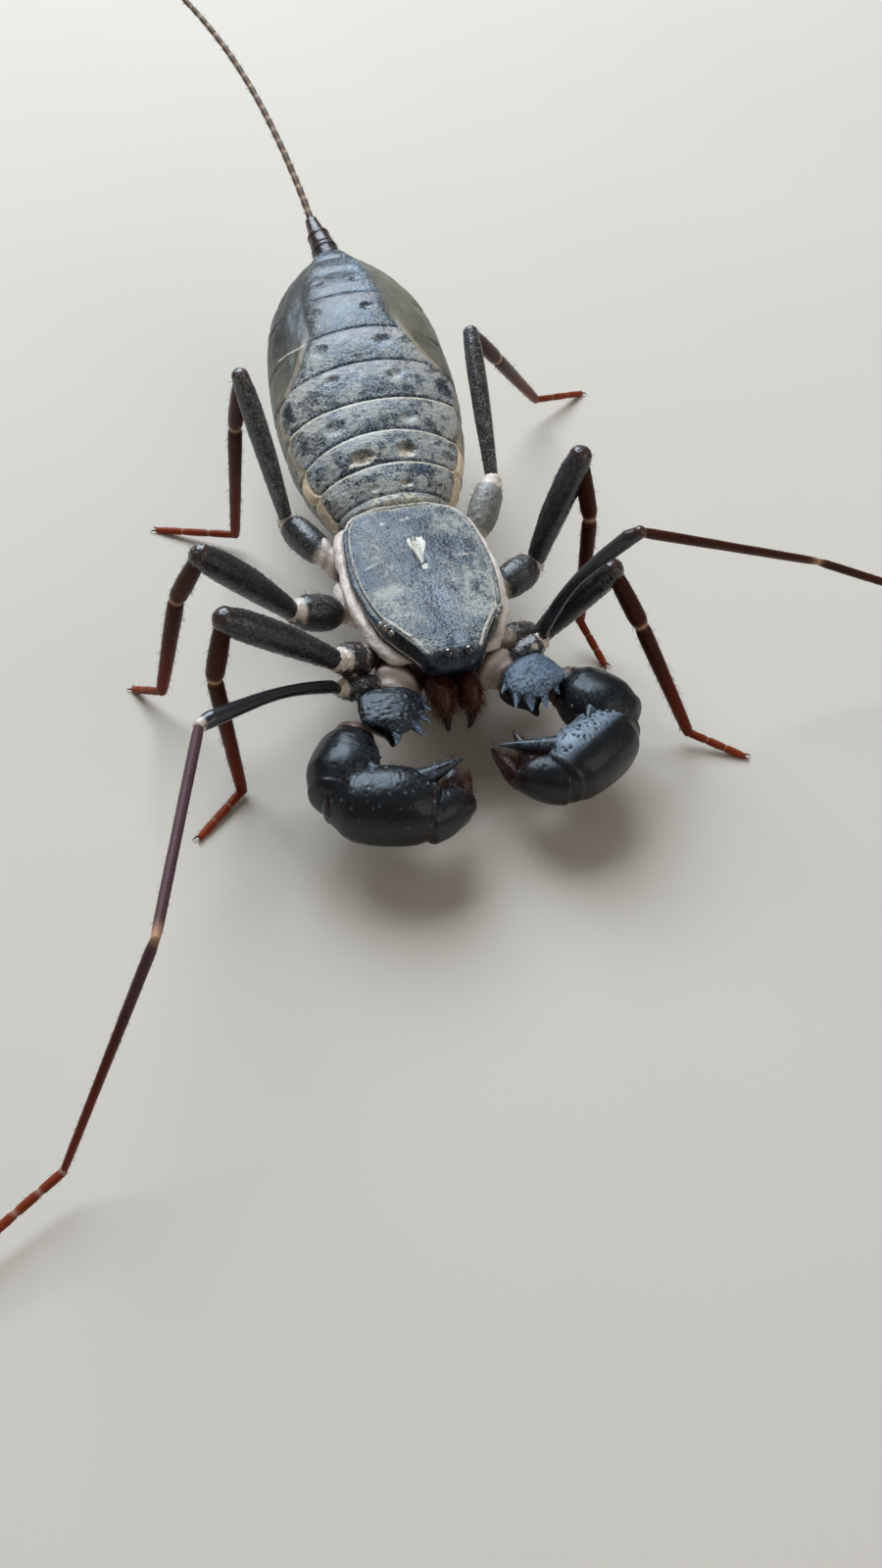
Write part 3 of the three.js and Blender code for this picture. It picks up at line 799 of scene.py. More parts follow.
class Graph:
    """Node tree of one material."""

    def __init__(self, name: str) -> None:
        """Starts a material with nothing but its output.

        Args:
            name: name of the material.
        """
        self.material = bpy.data.materials.new(name)
        self.material.use_nodes = True
        self.tree = self.material.node_tree
        self.tree.nodes.clear()

    def node(self, kind: str, settings: dict[str, Any], values: dict[int | str, Any]) -> bpy.types.Node:
        """Adds a node.

        Args:
            kind: type of the node.
            settings: its properties, which are set first.
            values: value or link of each socket, by number or name.

        Returns:
            The node.
        """
        made = self.tree.nodes.new(kind)
        for key, setting in settings.items():
            setattr(made, key, setting)
        for key, value in values.items():
            if isinstance(value, Value):
                self.tree.links.new(value.socket, made.inputs[key])
            elif isinstance(value, bpy.types.NodeSocket):
                self.tree.links.new(value, made.inputs[key])
            else:
                made.inputs[key].default_value = value
        return made

    def layer(self, layer: Layer) -> Value:
        """A surface layer."""
        node = self.node("ShaderNodeAttribute", {"attribute_name": layer.value}, {})
        return Value(self, node.outputs["Fac"])

    def place(self) -> bpy.types.NodeSocket:
        """Place on the object, in millimetres.

        Returns:
            The socket that gives it.
        """
        node = self.node("ShaderNodeTexCoord", {}, {})
        values = {0: node.outputs["Object"], "Scale": 1 / MM}
        scaled = self.node("ShaderNodeVectorMath", {"operation": "SCALE"}, values)
        return scaled.outputs[0]

    def clouds(self, place: bpy.types.NodeSocket, size: float, detail: float = 3.0) -> Value:
        """Soft pattern with blotches of a size in millimetres.

        Args:
            place: where on the object.
            size: width of the blotches.
            detail: how many finer layers they have.

        Returns:
            Values from 0 to 1, mostly near the middle.
        """
        node = self.node(
            "ShaderNodeTexNoise", {"noise_dimensions": "3D"},
            {"Vector": place, "Scale": 1 / size, "Detail": detail, "Roughness": 0.6},
        )
        return Value(self, node.outputs[0])

    def spots(self, place: bpy.types.NodeSocket, size: float) -> Value:
        """Distance from scattered spots that are a size in millimetres apart.

        Args:
            place: where on the object.
            size: usual distance between spots.

        Returns:
            The distance, in sizes.
        """
        node = self.node(
            "ShaderNodeTexVoronoi", {"feature": "F1", "distance": "EUCLIDEAN"},
            {"Vector": place, "Scale": 1 / size, "Randomness": 1.0},
        )
        return Value(self, node.outputs["Distance"])

    def mix(self, share: Value | float, a: Any, b: Any) -> bpy.types.NodeSocket:
        """Colour between two colours, each given as numbers or as a link.

        Args:
            share: 0 for the first colour and 1 for the second.
            a: first colour.
            b: second colour.

        Returns:
            The socket that gives the mixed colour.
        """
        colours = [(*c, 1.0) if isinstance(c, tuple) else c for c in (a, b)]
        node = self.node(
            "ShaderNodeMix", {"data_type": "RGBA", "clamp_factor": True},
            {0: share, 6: colours[0], 7: colours[1]},
        )
        return node.outputs[2]

    def glossy(self, values: dict[int | str, Any]) -> bpy.types.Material:
        """Ends the tree with a glossy surface.

        Args:
            values: value or link of each of its sockets, by name.

        Returns:
            The finished material.
        """
        shader = self.node("ShaderNodeBsdfPrincipled", {}, values)
        self.node("ShaderNodeOutputMaterial", {}, {"Surface": shader.outputs[0]})
        return self.material


@dataclass(frozen=True)
class Cuticle:
    """Finish of shell, membrane or bristle."""

    name: str
    deep: Colour                       # in the hollows of the grain, partly painted shade
    tops_and_sheen: Colour                      # on the grain's tops, partly painted sheen
    warm: Colour = (0.09, 0.022, 0.012)
    pale: Colour = (0.62, 0.53, 0.42)
    dust_and_sheen: Colour = (0.36, 0.36, 0.32)
    seam: Colour = (0.55, 0.5, 0.4)
    ochre: Colour = (0.3, 0.22, 0.1)
    soft: Colour = (0.1, 0.098, 0.08)
    tint: Colour = (1.0, 1.0, 1.0)     # of the gloss
    rough: float = 0.5
    polished: float = 0.16             # roughness where it is polished
    grain: float = 0.16                # size of the fine grain, in millimetres
    relief: float = 0.02               # height of the fine grain, in millimetres
    speck: float = 0.19                # size of the specks of dust and painted sheen, in millimetres
    specular: float = 0.5
    contrast: float = 1.0              # between the grain's tops and hollows

    def material(self) -> bpy.types.Material:
        """The finish as a material, made once."""
        return bpy.data.materials.get(self.name) or self._make()

    def _make(self) -> bpy.types.Material:
        """Builds the node tree.

        Returns:
            The new material.
        """
        g = Graph(self.name)
        place = g.place()
        tops = 1 - g.spots(place, self.grain).step(0.15, 0.7)
        fine = g.clouds(place, self.grain * 1.6, 4.0)
        broad = g.clouds(place, 2.4, 4.0)
        # The grain's tops take the lighter colour, as painted sheen in part.
        light = (tops * 0.4 + fine * 0.7 + broad * 0.9 - 1.05) * self.contrast + 0.45
        colour = g.mix(light, self.deep, self.tops_and_sheen)
        soft = g.layer(Layer.SOFT)
        dark_soft = tuple(0.45 * c for c in self.soft)
        leather = g.mix(broad.step(0.3, 0.7) * 0.6 + fine * 0.4, dark_soft, self.soft)
        colour = g.mix(soft, colour, leather)
        warm = g.layer(Layer.WARM)
        colour = g.mix(warm * fine.between(0.7, 1.3), colour, self.warm)
        # Darker in pits and dark marks, and in painted shade.
        dark_and_shade = g.layer(Layer.DARK_AND_SHADE)
        colour = g.mix(dark_and_shade, colour, tuple(0.3 * c for c in self.deep))
        # Specks of dust, and of painted sheen on the claw arms, legs and back plates.
        dust_and_sheen = g.layer(Layer.DUST_AND_SHEEN)
        specks = g.clouds(place, self.speck, 3.0) * 0.75 + g.clouds(place, 0.7, 3.0) * 0.25
        dust_and_sheen_specks = (specks + dust_and_sheen * 0.38).step(0.5, 0.84) * dust_and_sheen.step(0.0, 0.2) * 0.75
        colour = g.mix(dust_and_sheen_specks, colour, self.dust_and_sheen)
        ochre = g.layer(Layer.OCHRE)
        colour = g.mix(ochre * fine.step(0.25, 0.6), colour, self.ochre)
        line = g.layer(Layer.SEAM).step(0.86, 0.94) * g.clouds(place, 0.6, 3.0).step(0.25, 0.5)
        colour = g.mix(line * 0.9, colour, self.seam)
        pale = g.layer(Layer.PALE)
        dark_pale = tuple(0.6 * c for c in self.pale)
        flesh = g.mix(fine.step(0.3, 0.8) * 0.6 + broad.step(0.35, 0.6) * 0.4, dark_pale, self.pale)
        colour = g.mix(pale, colour, flesh)
        rough = fine.between(self.rough - 0.08, self.rough + 0.1) + dust_and_sheen_specks * 0.25
        shine = g.layer(Layer.SHINE)
        rough = rough * (1 - shine) + shine * self.polished
        height = (tops * 0.6 + fine * 0.8) * (1 - shine * 0.8) * (1 - soft * 0.6) + dust_and_sheen_specks * 0.4
        bump = g.node(
            "ShaderNodeBump", {},
            {"Strength": 0.8, "Distance": self.relief * MM, "Height": height},
        )
        return g.glossy({
            "Base Color": colour, "Roughness": rough, "Normal": bump.outputs[0],
            "Specular IOR Level": self.specular, "Specular Tint": (*self.tint, 1.0),
        })


# The blue of the shield's and back plates' lighter colour partly paints the sky's sheen.
SHIELD = Cuticle(
    "shield_cuticle", deep=(0.012, 0.017, 0.025), tops_and_sheen=(0.086, 0.135, 0.2), rough=0.38, polished=0.22,
    grain=0.15, relief=0.03, contrast=1.9, tint=(0.8, 0.91, 1.0), dust_and_sheen=(0.46, 0.46, 0.41),
    pale=(0.86, 0.84, 0.74), seam=(0.6, 0.56, 0.48),
)
PLATE = Cuticle(
    "tergite_cuticle", deep=(0.022, 0.029, 0.038), tops_and_sheen=(0.23, 0.33, 0.46), rough=0.38, polished=0.26,
    grain=0.17, relief=0.03, contrast=2.3, warm=(0.14, 0.1, 0.12), tint=(0.8, 0.91, 1.0),
    pale=(0.98, 0.8, 0.55), seam=(0.66, 0.6, 0.46), dust_and_sheen=(0.5, 0.5, 0.45), ochre=(0.34, 0.28, 0.15),
    soft=(0.19, 0.178, 0.135),
)
BELLY = Cuticle(
    "belly_cuticle", deep=(0.012, 0.008, 0.007), tops_and_sheen=(0.05, 0.032, 0.026), rough=0.38,
    warm=(0.085, 0.02, 0.014), pale=(0.74, 0.62, 0.56), specular=0.35,
)
# The claw arms' bluish dust and pale colours paint sheen and highlights on their upper faces.
CLAW = Cuticle(
    "claw_cuticle", deep=(0.003, 0.003, 0.003), tops_and_sheen=(0.011, 0.012, 0.014), rough=0.36, polished=0.27,
    grain=0.3, relief=0.006, specular=0.42, warm=(0.045, 0.012, 0.007), dust_and_sheen=(0.17, 0.235, 0.32),
    tint=(0.78, 0.9, 1.0), pale=(0.42, 0.54, 0.68),
)
FINGER = Cuticle(
    "finger_cuticle", deep=(0.008, 0.003, 0.002), tops_and_sheen=(0.03, 0.009, 0.006), rough=0.38,
    warm=(0.055, 0.013, 0.008), specular=0.3,
)
THIGH = Cuticle(
    "thigh_cuticle", deep=(0.005, 0.005, 0.005), tops_and_sheen=(0.03, 0.03, 0.036), rough=0.32, polished=0.22,
    grain=0.14, relief=0.014, warm=(0.05, 0.014, 0.01), specular=0.7, tint=(0.88, 0.94, 1.0),
    pale=(0.8, 0.7, 0.6), dust_and_sheen=(0.33, 0.32, 0.29),
)
SHIN = Cuticle(
    "shin_cuticle", deep=(0.012, 0.003, 0.002), tops_and_sheen=(0.045, 0.013, 0.007), rough=0.4, grain=0.12,
    relief=0.012, warm=(0.15, 0.016, 0.005), pale=(0.62, 0.36, 0.22), specular=0.16,
    tint=(1.0, 0.85, 0.75), dust_and_sheen=(0.085, 0.05, 0.066),
)
FOOT = Cuticle(
    "foot_cuticle", deep=(0.08, 0.01, 0.004), tops_and_sheen=(0.2, 0.032, 0.011), rough=0.42, grain=0.1, relief=0.01,
    warm=(0.27, 0.045, 0.014), specular=0.14, tint=(1.0, 0.85, 0.75),
)
SOFT = Cuticle(
    "joint_skin", deep=(0.5, 0.38, 0.33), tops_and_sheen=(0.84, 0.75, 0.69), rough=0.42, grain=0.22, relief=0.03,
    warm=(0.2, 0.09, 0.05), pale=(0.84, 0.76, 0.68),
)
WHIP = Cuticle(
    "whip_cuticle", deep=(0.05, 0.032, 0.024), tops_and_sheen=(0.2, 0.15, 0.11), rough=0.42, grain=0.08, relief=0.01,
    warm=(0.16, 0.1, 0.07), pale=(0.62, 0.45, 0.3), specular=0.35,
)
BRISTLE = Cuticle(
    "bristle", deep=(0.05, 0.016, 0.007), tops_and_sheen=(0.15, 0.055, 0.022), rough=0.4, grain=0.3, relief=0.001,
    specular=0.3,
)


@dataclass(frozen=True)
class Lens:
    """Polished finish of the eyes."""

    name: str = "eye_lens"
    colour: Colour = (0.004, 0.004, 0.005)
    glow: Colour = (0.016, 0.012, 0.009)
    rough: float = 0.06

    def material(self) -> bpy.types.Material:
        """The finish as a material, made once."""
        return bpy.data.materials.get(self.name) or self._make()

    def _make(self) -> bpy.types.Material:
        """Builds the node tree.

        Returns:
            The new material.
        """
        g = Graph(self.name)
        mottle = g.clouds(g.place(), 0.25, 2.0)
        return g.glossy({
            "Base Color": g.mix(mottle.step(0.35, 0.75), self.colour, self.glow),
            "Roughness": mottle.between(self.rough, self.rough + 0.08),
            "Specular IOR Level": 0.7, "Coat Weight": 1.0, "Coat Roughness": 0.03,
        })


EYE_BLACK = Lens()
EYE_AMBER = Lens("small_eye_lens", (0.1, 0.085, 0.06), (0.42, 0.38, 0.3), 0.12)


# ---------------------------------------------------------------- head shield and eyes


@dataclass
class HeadShield:
    """The carapace with its keels, rim, furrow and eyes."""

    length: float = 17.1
    rim: float = 0.3
    half_width: Table = (
        (0, 2.6), (0.04, 4.1), (0.13, 4.95), (0.31, 5.4), (0.46, 5.45), (0.6, 5.15),
        (0.72, 4.6), (0.82, 3.65), (0.9, 2.8), (0.95, 2.35), (0.985, 1.95), (1, 1.4),
    )
    margin: Table = ((0, 10.5), (0.12, 10.35), (0.4, 10.25), (0.64, 10.1), (0.78, 9.7), (1, 9.8))
    crown: Table = ((0, 10.9), (0.12, 11.1), (0.4, 11.35), (0.73, 11.6), (0.95, 11.35), (1, 10.25))
    square: Table = ((0, 2.8), (0.5, 3), (0.72, 4), (0.82, 8), (1, 8))
    median_eye: tuple[float, float, float, float] = (0.76, 16.65, 11.3, 0.4)       # out, forward, up, radius
    eyes_aside: float = 0.22
    lateral_eyes: tuple[tuple[float, float, float, float], ...] = (
        (4.5, 12.75, 11.12, 0.24), (4.27, 13.22, 11.15, 0.25), (3.95, 13.72, 11.1, 0.24),
    )
    chalk_dots: Table = ((0.1, -1.9), (-1.95, -2.2), (-0.35, -2.1))
    dust_heaps: Table = (                                    # x, y, half width, half length and amount
        (3.3, -9.4, 1.2, 0.6, 0.5), (4.2, -10.7, 0.7, 0.8, 0.3), (-2.9, -9.9, 1.2, 0.5, 0.45),
        (-4.2, -10.4, 0.6, 0.9, 0.3), (3.0, -2.6, 1.1, 0.7, 0.35), (2.6, -12.6, 1.6, 1.2, 0.15),
        (-2.8, -12.4, 1.4, 1.0, 0.15), (2.6, -5.2, 1.3, 1.1, -0.3), (3.3, -7.4, 1.2, 0.9, -0.3),
        (-4.0, -7.6, 0.9, 1.4, -0.25), (-1.9, -6.6, 0.8, 1.2, -0.2), (-3.0, -3.4, 1.2, 0.8, -0.15),
    )
    rows: int = 330
    columns: int = 290

    def build(self) -> None:
        """Makes the shield and the eyes."""
        skin = self._shell()
        edge = self._edge(skin.points)
        self._furrows(skin, edge)
        self._colours(skin, edge)
        self._marks(skin)
        skin.grainy(0.27, 0.045, 11, 0.7, 0.25).grainy(0.16, 0.022, 12, 0.9)
        Model(skin).build("head_shield", "shield", SHIELD, ["carapace"])
        for side in Side:
            self._eyes(side)

    def _shell(self) -> Skin:
        """The bare shield.

        Returns:
            Its surface, with the columns evenly spaced round each section.
        """
        t = shares_of(self.rows, 0.45)
        wide, low, top = (along(x, t) for x in (self.half_width, self.margin, self.crown))
        power = along(self.square, t)
        angle = np.linspace(0, 2 * math.pi, 1201)
        grid = np.empty((self.rows, self.columns, 3))
        for i in range(self.rows):
            cos, sin = np.cos(angle), np.sin(angle)
            x = -wide[i] * np.sign(cos) * np.abs(cos) ** (2 / power[i])
            over = (top[i] - low[i]) * np.abs(sin) ** (2 / power[i])
            under = -self.rim * np.abs(sin) ** 0.25
            z = low[i] + np.where(sin >= 0, over, under)
            near_rim = np.abs(x[1:]) > wide[i] - 0.8
            step = np.hypot(np.diff(x), np.diff(z)) * np.where(sin[1:] >= 0, 1.0 + near_rim, 0.3)
            run = np.concatenate([[0], np.cumsum(step)])
            even = np.linspace(0, run[-1], self.columns, endpoint=False)
            grid[i, :, 0] = np.interp(even, run, x)
            grid[i, :, 1] = -t[i] * self.length
            grid[i, :, 2] = np.interp(even, run, z)
        return Skin(grid, shares=t)

    def _edge(self, points: Array) -> Array:
        """Distance in plan from the shield's outline, in millimetres.

        Args:
            points: places on the shield.

        Returns:
            The distance at each place.
        """
        t = np.linspace(0, 1, 260)
        x, y = along(self.half_width, t), -t * self.length
        outline = np.concatenate([np.stack([x, y], -1), np.stack([-x, y], -1)])
        rear = np.stack([np.linspace(-2.6, 2.6, 60), np.zeros(60)], -1)
        outline = np.concatenate([outline, rear]).astype(np.float32)
        plan = points[..., :2].reshape(-1, 2).astype(np.float32)
        nearest = np.empty(len(plan), np.float32)
        for part in np.array_split(np.arange(len(plan)), 24):
            gaps = np.linalg.norm(plan[part, None] - outline[None], axis=-1)
            nearest[part] = gaps.min(1)
        return nearest.reshape(points.shape[:2]).astype(float)

    def _furrows(self, skin: Skin, edge: Array) -> None:
        """Raises and sinks the shield's top, and paints shade in the sunk furrows.

        Args:
            skin: the bare skin, which is changed.
            edge: distance of each point from the outline.
        """
        x, y, _ = np.moveaxis(skin.points, -1, 0)
        top = ease(skin.normals()[..., 2], 0.2, 0.6)
        pit = -0.36 * hump(x, 0, 0.28) * ease(y, -8.4, -7.2) * ease(y, -4.0, -5.4)
        wings = -0.08 * hump(np.abs(x), 2.6 + 0.18 * (y + 6.5), 0.55) * hump(y, -6.6, 1.9)
        spokes = -0.05 * hump(np.abs(x) - 1.3, -0.55 * (y + 9.6), 0.5) * hump(y, -10.4, 1.6)
        median = -0.04 * hump(x, 0, 0.6) * hump(y, -12.2, 3.0)
        dome = 0.16 * hump(x, 0, 2.0) * hump(y, -3.0, 2.0)
        knob = 0.26 * hump(np.abs(x - self.eyes_aside), 0.76, 0.72) * hump(y, -16.4, 0.9)
        eyes = 0.3 * hump(np.abs(x), 4.2, 0.6) * hump(y, -13.2, 0.95)
        waves = 0.06 * skin.clouds(2.4, 5)
        height = (pit + wings + spokes + median + dome + knob + eyes + waves) * top
        lip = 0.1 * hump(edge, 0.05, 0.12) - 0.1 * hump(edge, 0.24, 0.1) + 0.05 * hump(edge, 0.42, 0.12)
        skin.swell(height + lip * ease(skin.normals()[..., 2], 0, 0.2) * ease(-y, 14.5, 12.0))
        # Painted shade in the sunk pit, wings and spokes.
        skin.layers[Layer.DARK_AND_SHADE] = np.clip(-(pit * 1.2 + wings * 2.2 + spokes * 2.2), 0, 0.5) * top

    def _colours(self, skin: Skin, edge: Array) -> None:
        """Paints the shield's shadows, polish, seams and dust.

        Args:
            skin: the raised skin, which is changed.
            edge: distance of each point from the outline.
        """
        x, y, z = np.moveaxis(skin.points, -1, 0)
        up = skin.normals()[..., 2]
        front = ease(-y, 12.2, 12.9)
        steep = ease(up, 0.62, 0.35) * front
        low = z - along(self.margin, skin.share)
        wall = ease(up, 0.45, 0.2) * ease(low, 0.4, 0.15) * (1 - front)
        nose = ease(-y, 16.5, 16.95)
        skin.paint(Layer.SHINE, np.maximum(steep * 0.6, nose * 0.8))
        groove = hump(edge, 0.21, 0.1) * ease(-y, 15.5, 13.5)
        shadow = np.maximum(np.maximum(steep, nose * 0.25) * 0.9, np.maximum(wall, groove) * 0.75)
        skin.paint(Layer.DARK_AND_SHADE, shadow)
        skin.paint(Layer.SHINE, 0.5 * hump(x, 0.1, 1.5) * hump(y, -12.6, 4.6))
        outer = (1 - 1.1 * np.abs(low - 0.14)) * (low > -0.1) * (up > -0.5)
        outer = np.maximum(outer, (1 - 1.1 * np.abs(edge - 0.07)) * (up > 0.1) * ease(-y, 3.0, 1.6))
        seam = np.maximum(outer, (1 - 1.1 * np.abs(edge - 0.36)) * ease(up, 0.1, 0.3))
        skin.paint(Layer.SEAM, seam * ease(-y, 17.2, 16.2))
        keel = hump(up, 0.62, 0.13) * front * ease(-y, 16.2, 15.0)
        keel = keel * (0.35 + 0.5 * ease(x, 0, 1) * ease(-y, 15.0, 14.0))
        skin.paint(Layer.PALE, keel * self._ragged(skin))
        bare = ease(skin.clouds(1.2, 13), 0.0, 0.3)
        crust = (1.1 + 0.9 * skin.clouds(0.8, 12, 4)) * (1 - 0.45 * bare)
        skin.paint(Layer.DUST_AND_SHEEN, self._dust(x, y) * crust * ease(up, 0.45, 0.75) * (1 - 0.6 * nose))
        dark = ease(skin.clouds(1.1, 9), 0.1, 0.7) * ease(np.abs(x), 0.4, 2.2)
        # Darker towards the left side: the rim's own dark, and painted shade.
        left_dark_and_shade = np.maximum(0.3 * hump(x, -3.6, 1.3) * hump(y, -6.0, 3.2), 0.22 * ease(x, -4.0, -5.0))
        skin.paint(Layer.DARK_AND_SHADE, dark * 0.55 + left_dark_and_shade)

    @staticmethod
    def _ragged(skin: Skin) -> Array:
        """Small gaps in the pale marks, as 0 in a gap and 1 outside."""
        return ease(skin.clouds(0.35, 8), -0.75, -0.1)

    def _marks(self, skin: Skin) -> None:
        """Draws the chalky fan and drop in the middle and the small scratches.

        Args:
            skin: the raised skin, which is changed.
        """
        x, y, _ = np.moveaxis(skin.points, -1, 0)
        ragged = self._ragged(skin)
        across = x - 0.12
        fringe = -4.3 - 0.35 * (0.5 + 0.5 * np.cos(across * 19)) - 0.35 * skin.clouds(0.25, 7)
        half = 0.1 + 0.58 * ease(y, -6.7, -4.9)
        fan = ease(np.abs(across), half + 0.05, half - 0.05)
        fan = fan * ease(y, fringe + 0.08, fringe - 0.08) * ease(y, -7.0, -6.8)
        drop = ease(np.hypot(across / 0.24, (y + 7.5) / 0.42), 1.0, 0.7)
        skin.paint(Layer.PALE, np.maximum(fan, drop) * 1.5 * ease(ragged, 0.0, 0.5))
        skin.swell(0.04 * np.maximum(fan, drop))
        arcs = hump(y, -6.25 - 0.16 * np.abs(x), 0.12) * ease(x, 2.3, 2.8) * ease(x, 4.0, 3.5)
        ticks = hump(0.35 * x - y, 5.4, 0.1) * ease(x, -4.6, -4.2) * ease(x, -3.2, -3.6)
        ticks = ticks + hump(x + 0.5 * y, -5.35, 0.1) * hump(y, -4.7, 0.4)
        dots = sum(hump(np.hypot(x - a, y - b), 0, 0.16) for a, b in self.chalk_dots)
        skin.paint(Layer.PALE, (arcs * 0.6 + ticks * 0.5 + dots * 0.8) * ragged)

    def _dust(self, x: Array, y: Array) -> Array:
        """How much dust lies on each place of the shield's top; less on the left side, partly as painted
        shade.

        Args:
            x: places across.
            y: places along.

        Returns:
            The amount, before it is broken up.
        """
        # Less on the left side, partly as painted shade.
        dust_and_sheen = 0.16 + 0.26 * ease(np.abs(x), 0.6, 3.0) - 0.22 * ease(x, -2.8, -4.6)
        dust_and_sheen = dust_and_sheen + 0.2 * hump(y, -0.3, 0.6)
        for across, back, wide, long, amount in self.dust_heaps:
            dust_and_sheen = dust_and_sheen + amount * np.exp(-(((x - across) / wide) ** 2) - ((y - back) / long) ** 2)
        return dust_and_sheen

    def _eyes(self, side: Side) -> None:
        """Makes the large eye and the three small ones of a side.

        Args:
            side: side of the animal.
        """
        *place, radius = self.median_eye
        centre = side.at(*place) + np.array([self.eyes_aside, 0.0, 0.0])
        lens = ball(centre, np.full(3, radius * 1.02), UP, 40, 48)
        Model(lens).build(f"median_eye_lens_{side.word}", "eye", EYE_BLACK, [f"median_eye_{side.word}"])
        row = Model()
        for *place, radius in self.lateral_eyes:
            row.add(ball(side.at(*place), np.full(3, radius), UP, 28, 32))
        row.build(f"lateral_eye_lenses_{side.word}", "eye", EYE_AMBER, [f"lateral_eyes_{side.word}"])


# ---------------------------------------------------------------- trunk, leg bases and jaws


@dataclass(frozen=True)
class Coxa:
    """Base of a limb under the shield."""

    inner: Point
    outer: Point
    thick: float
    thin: float


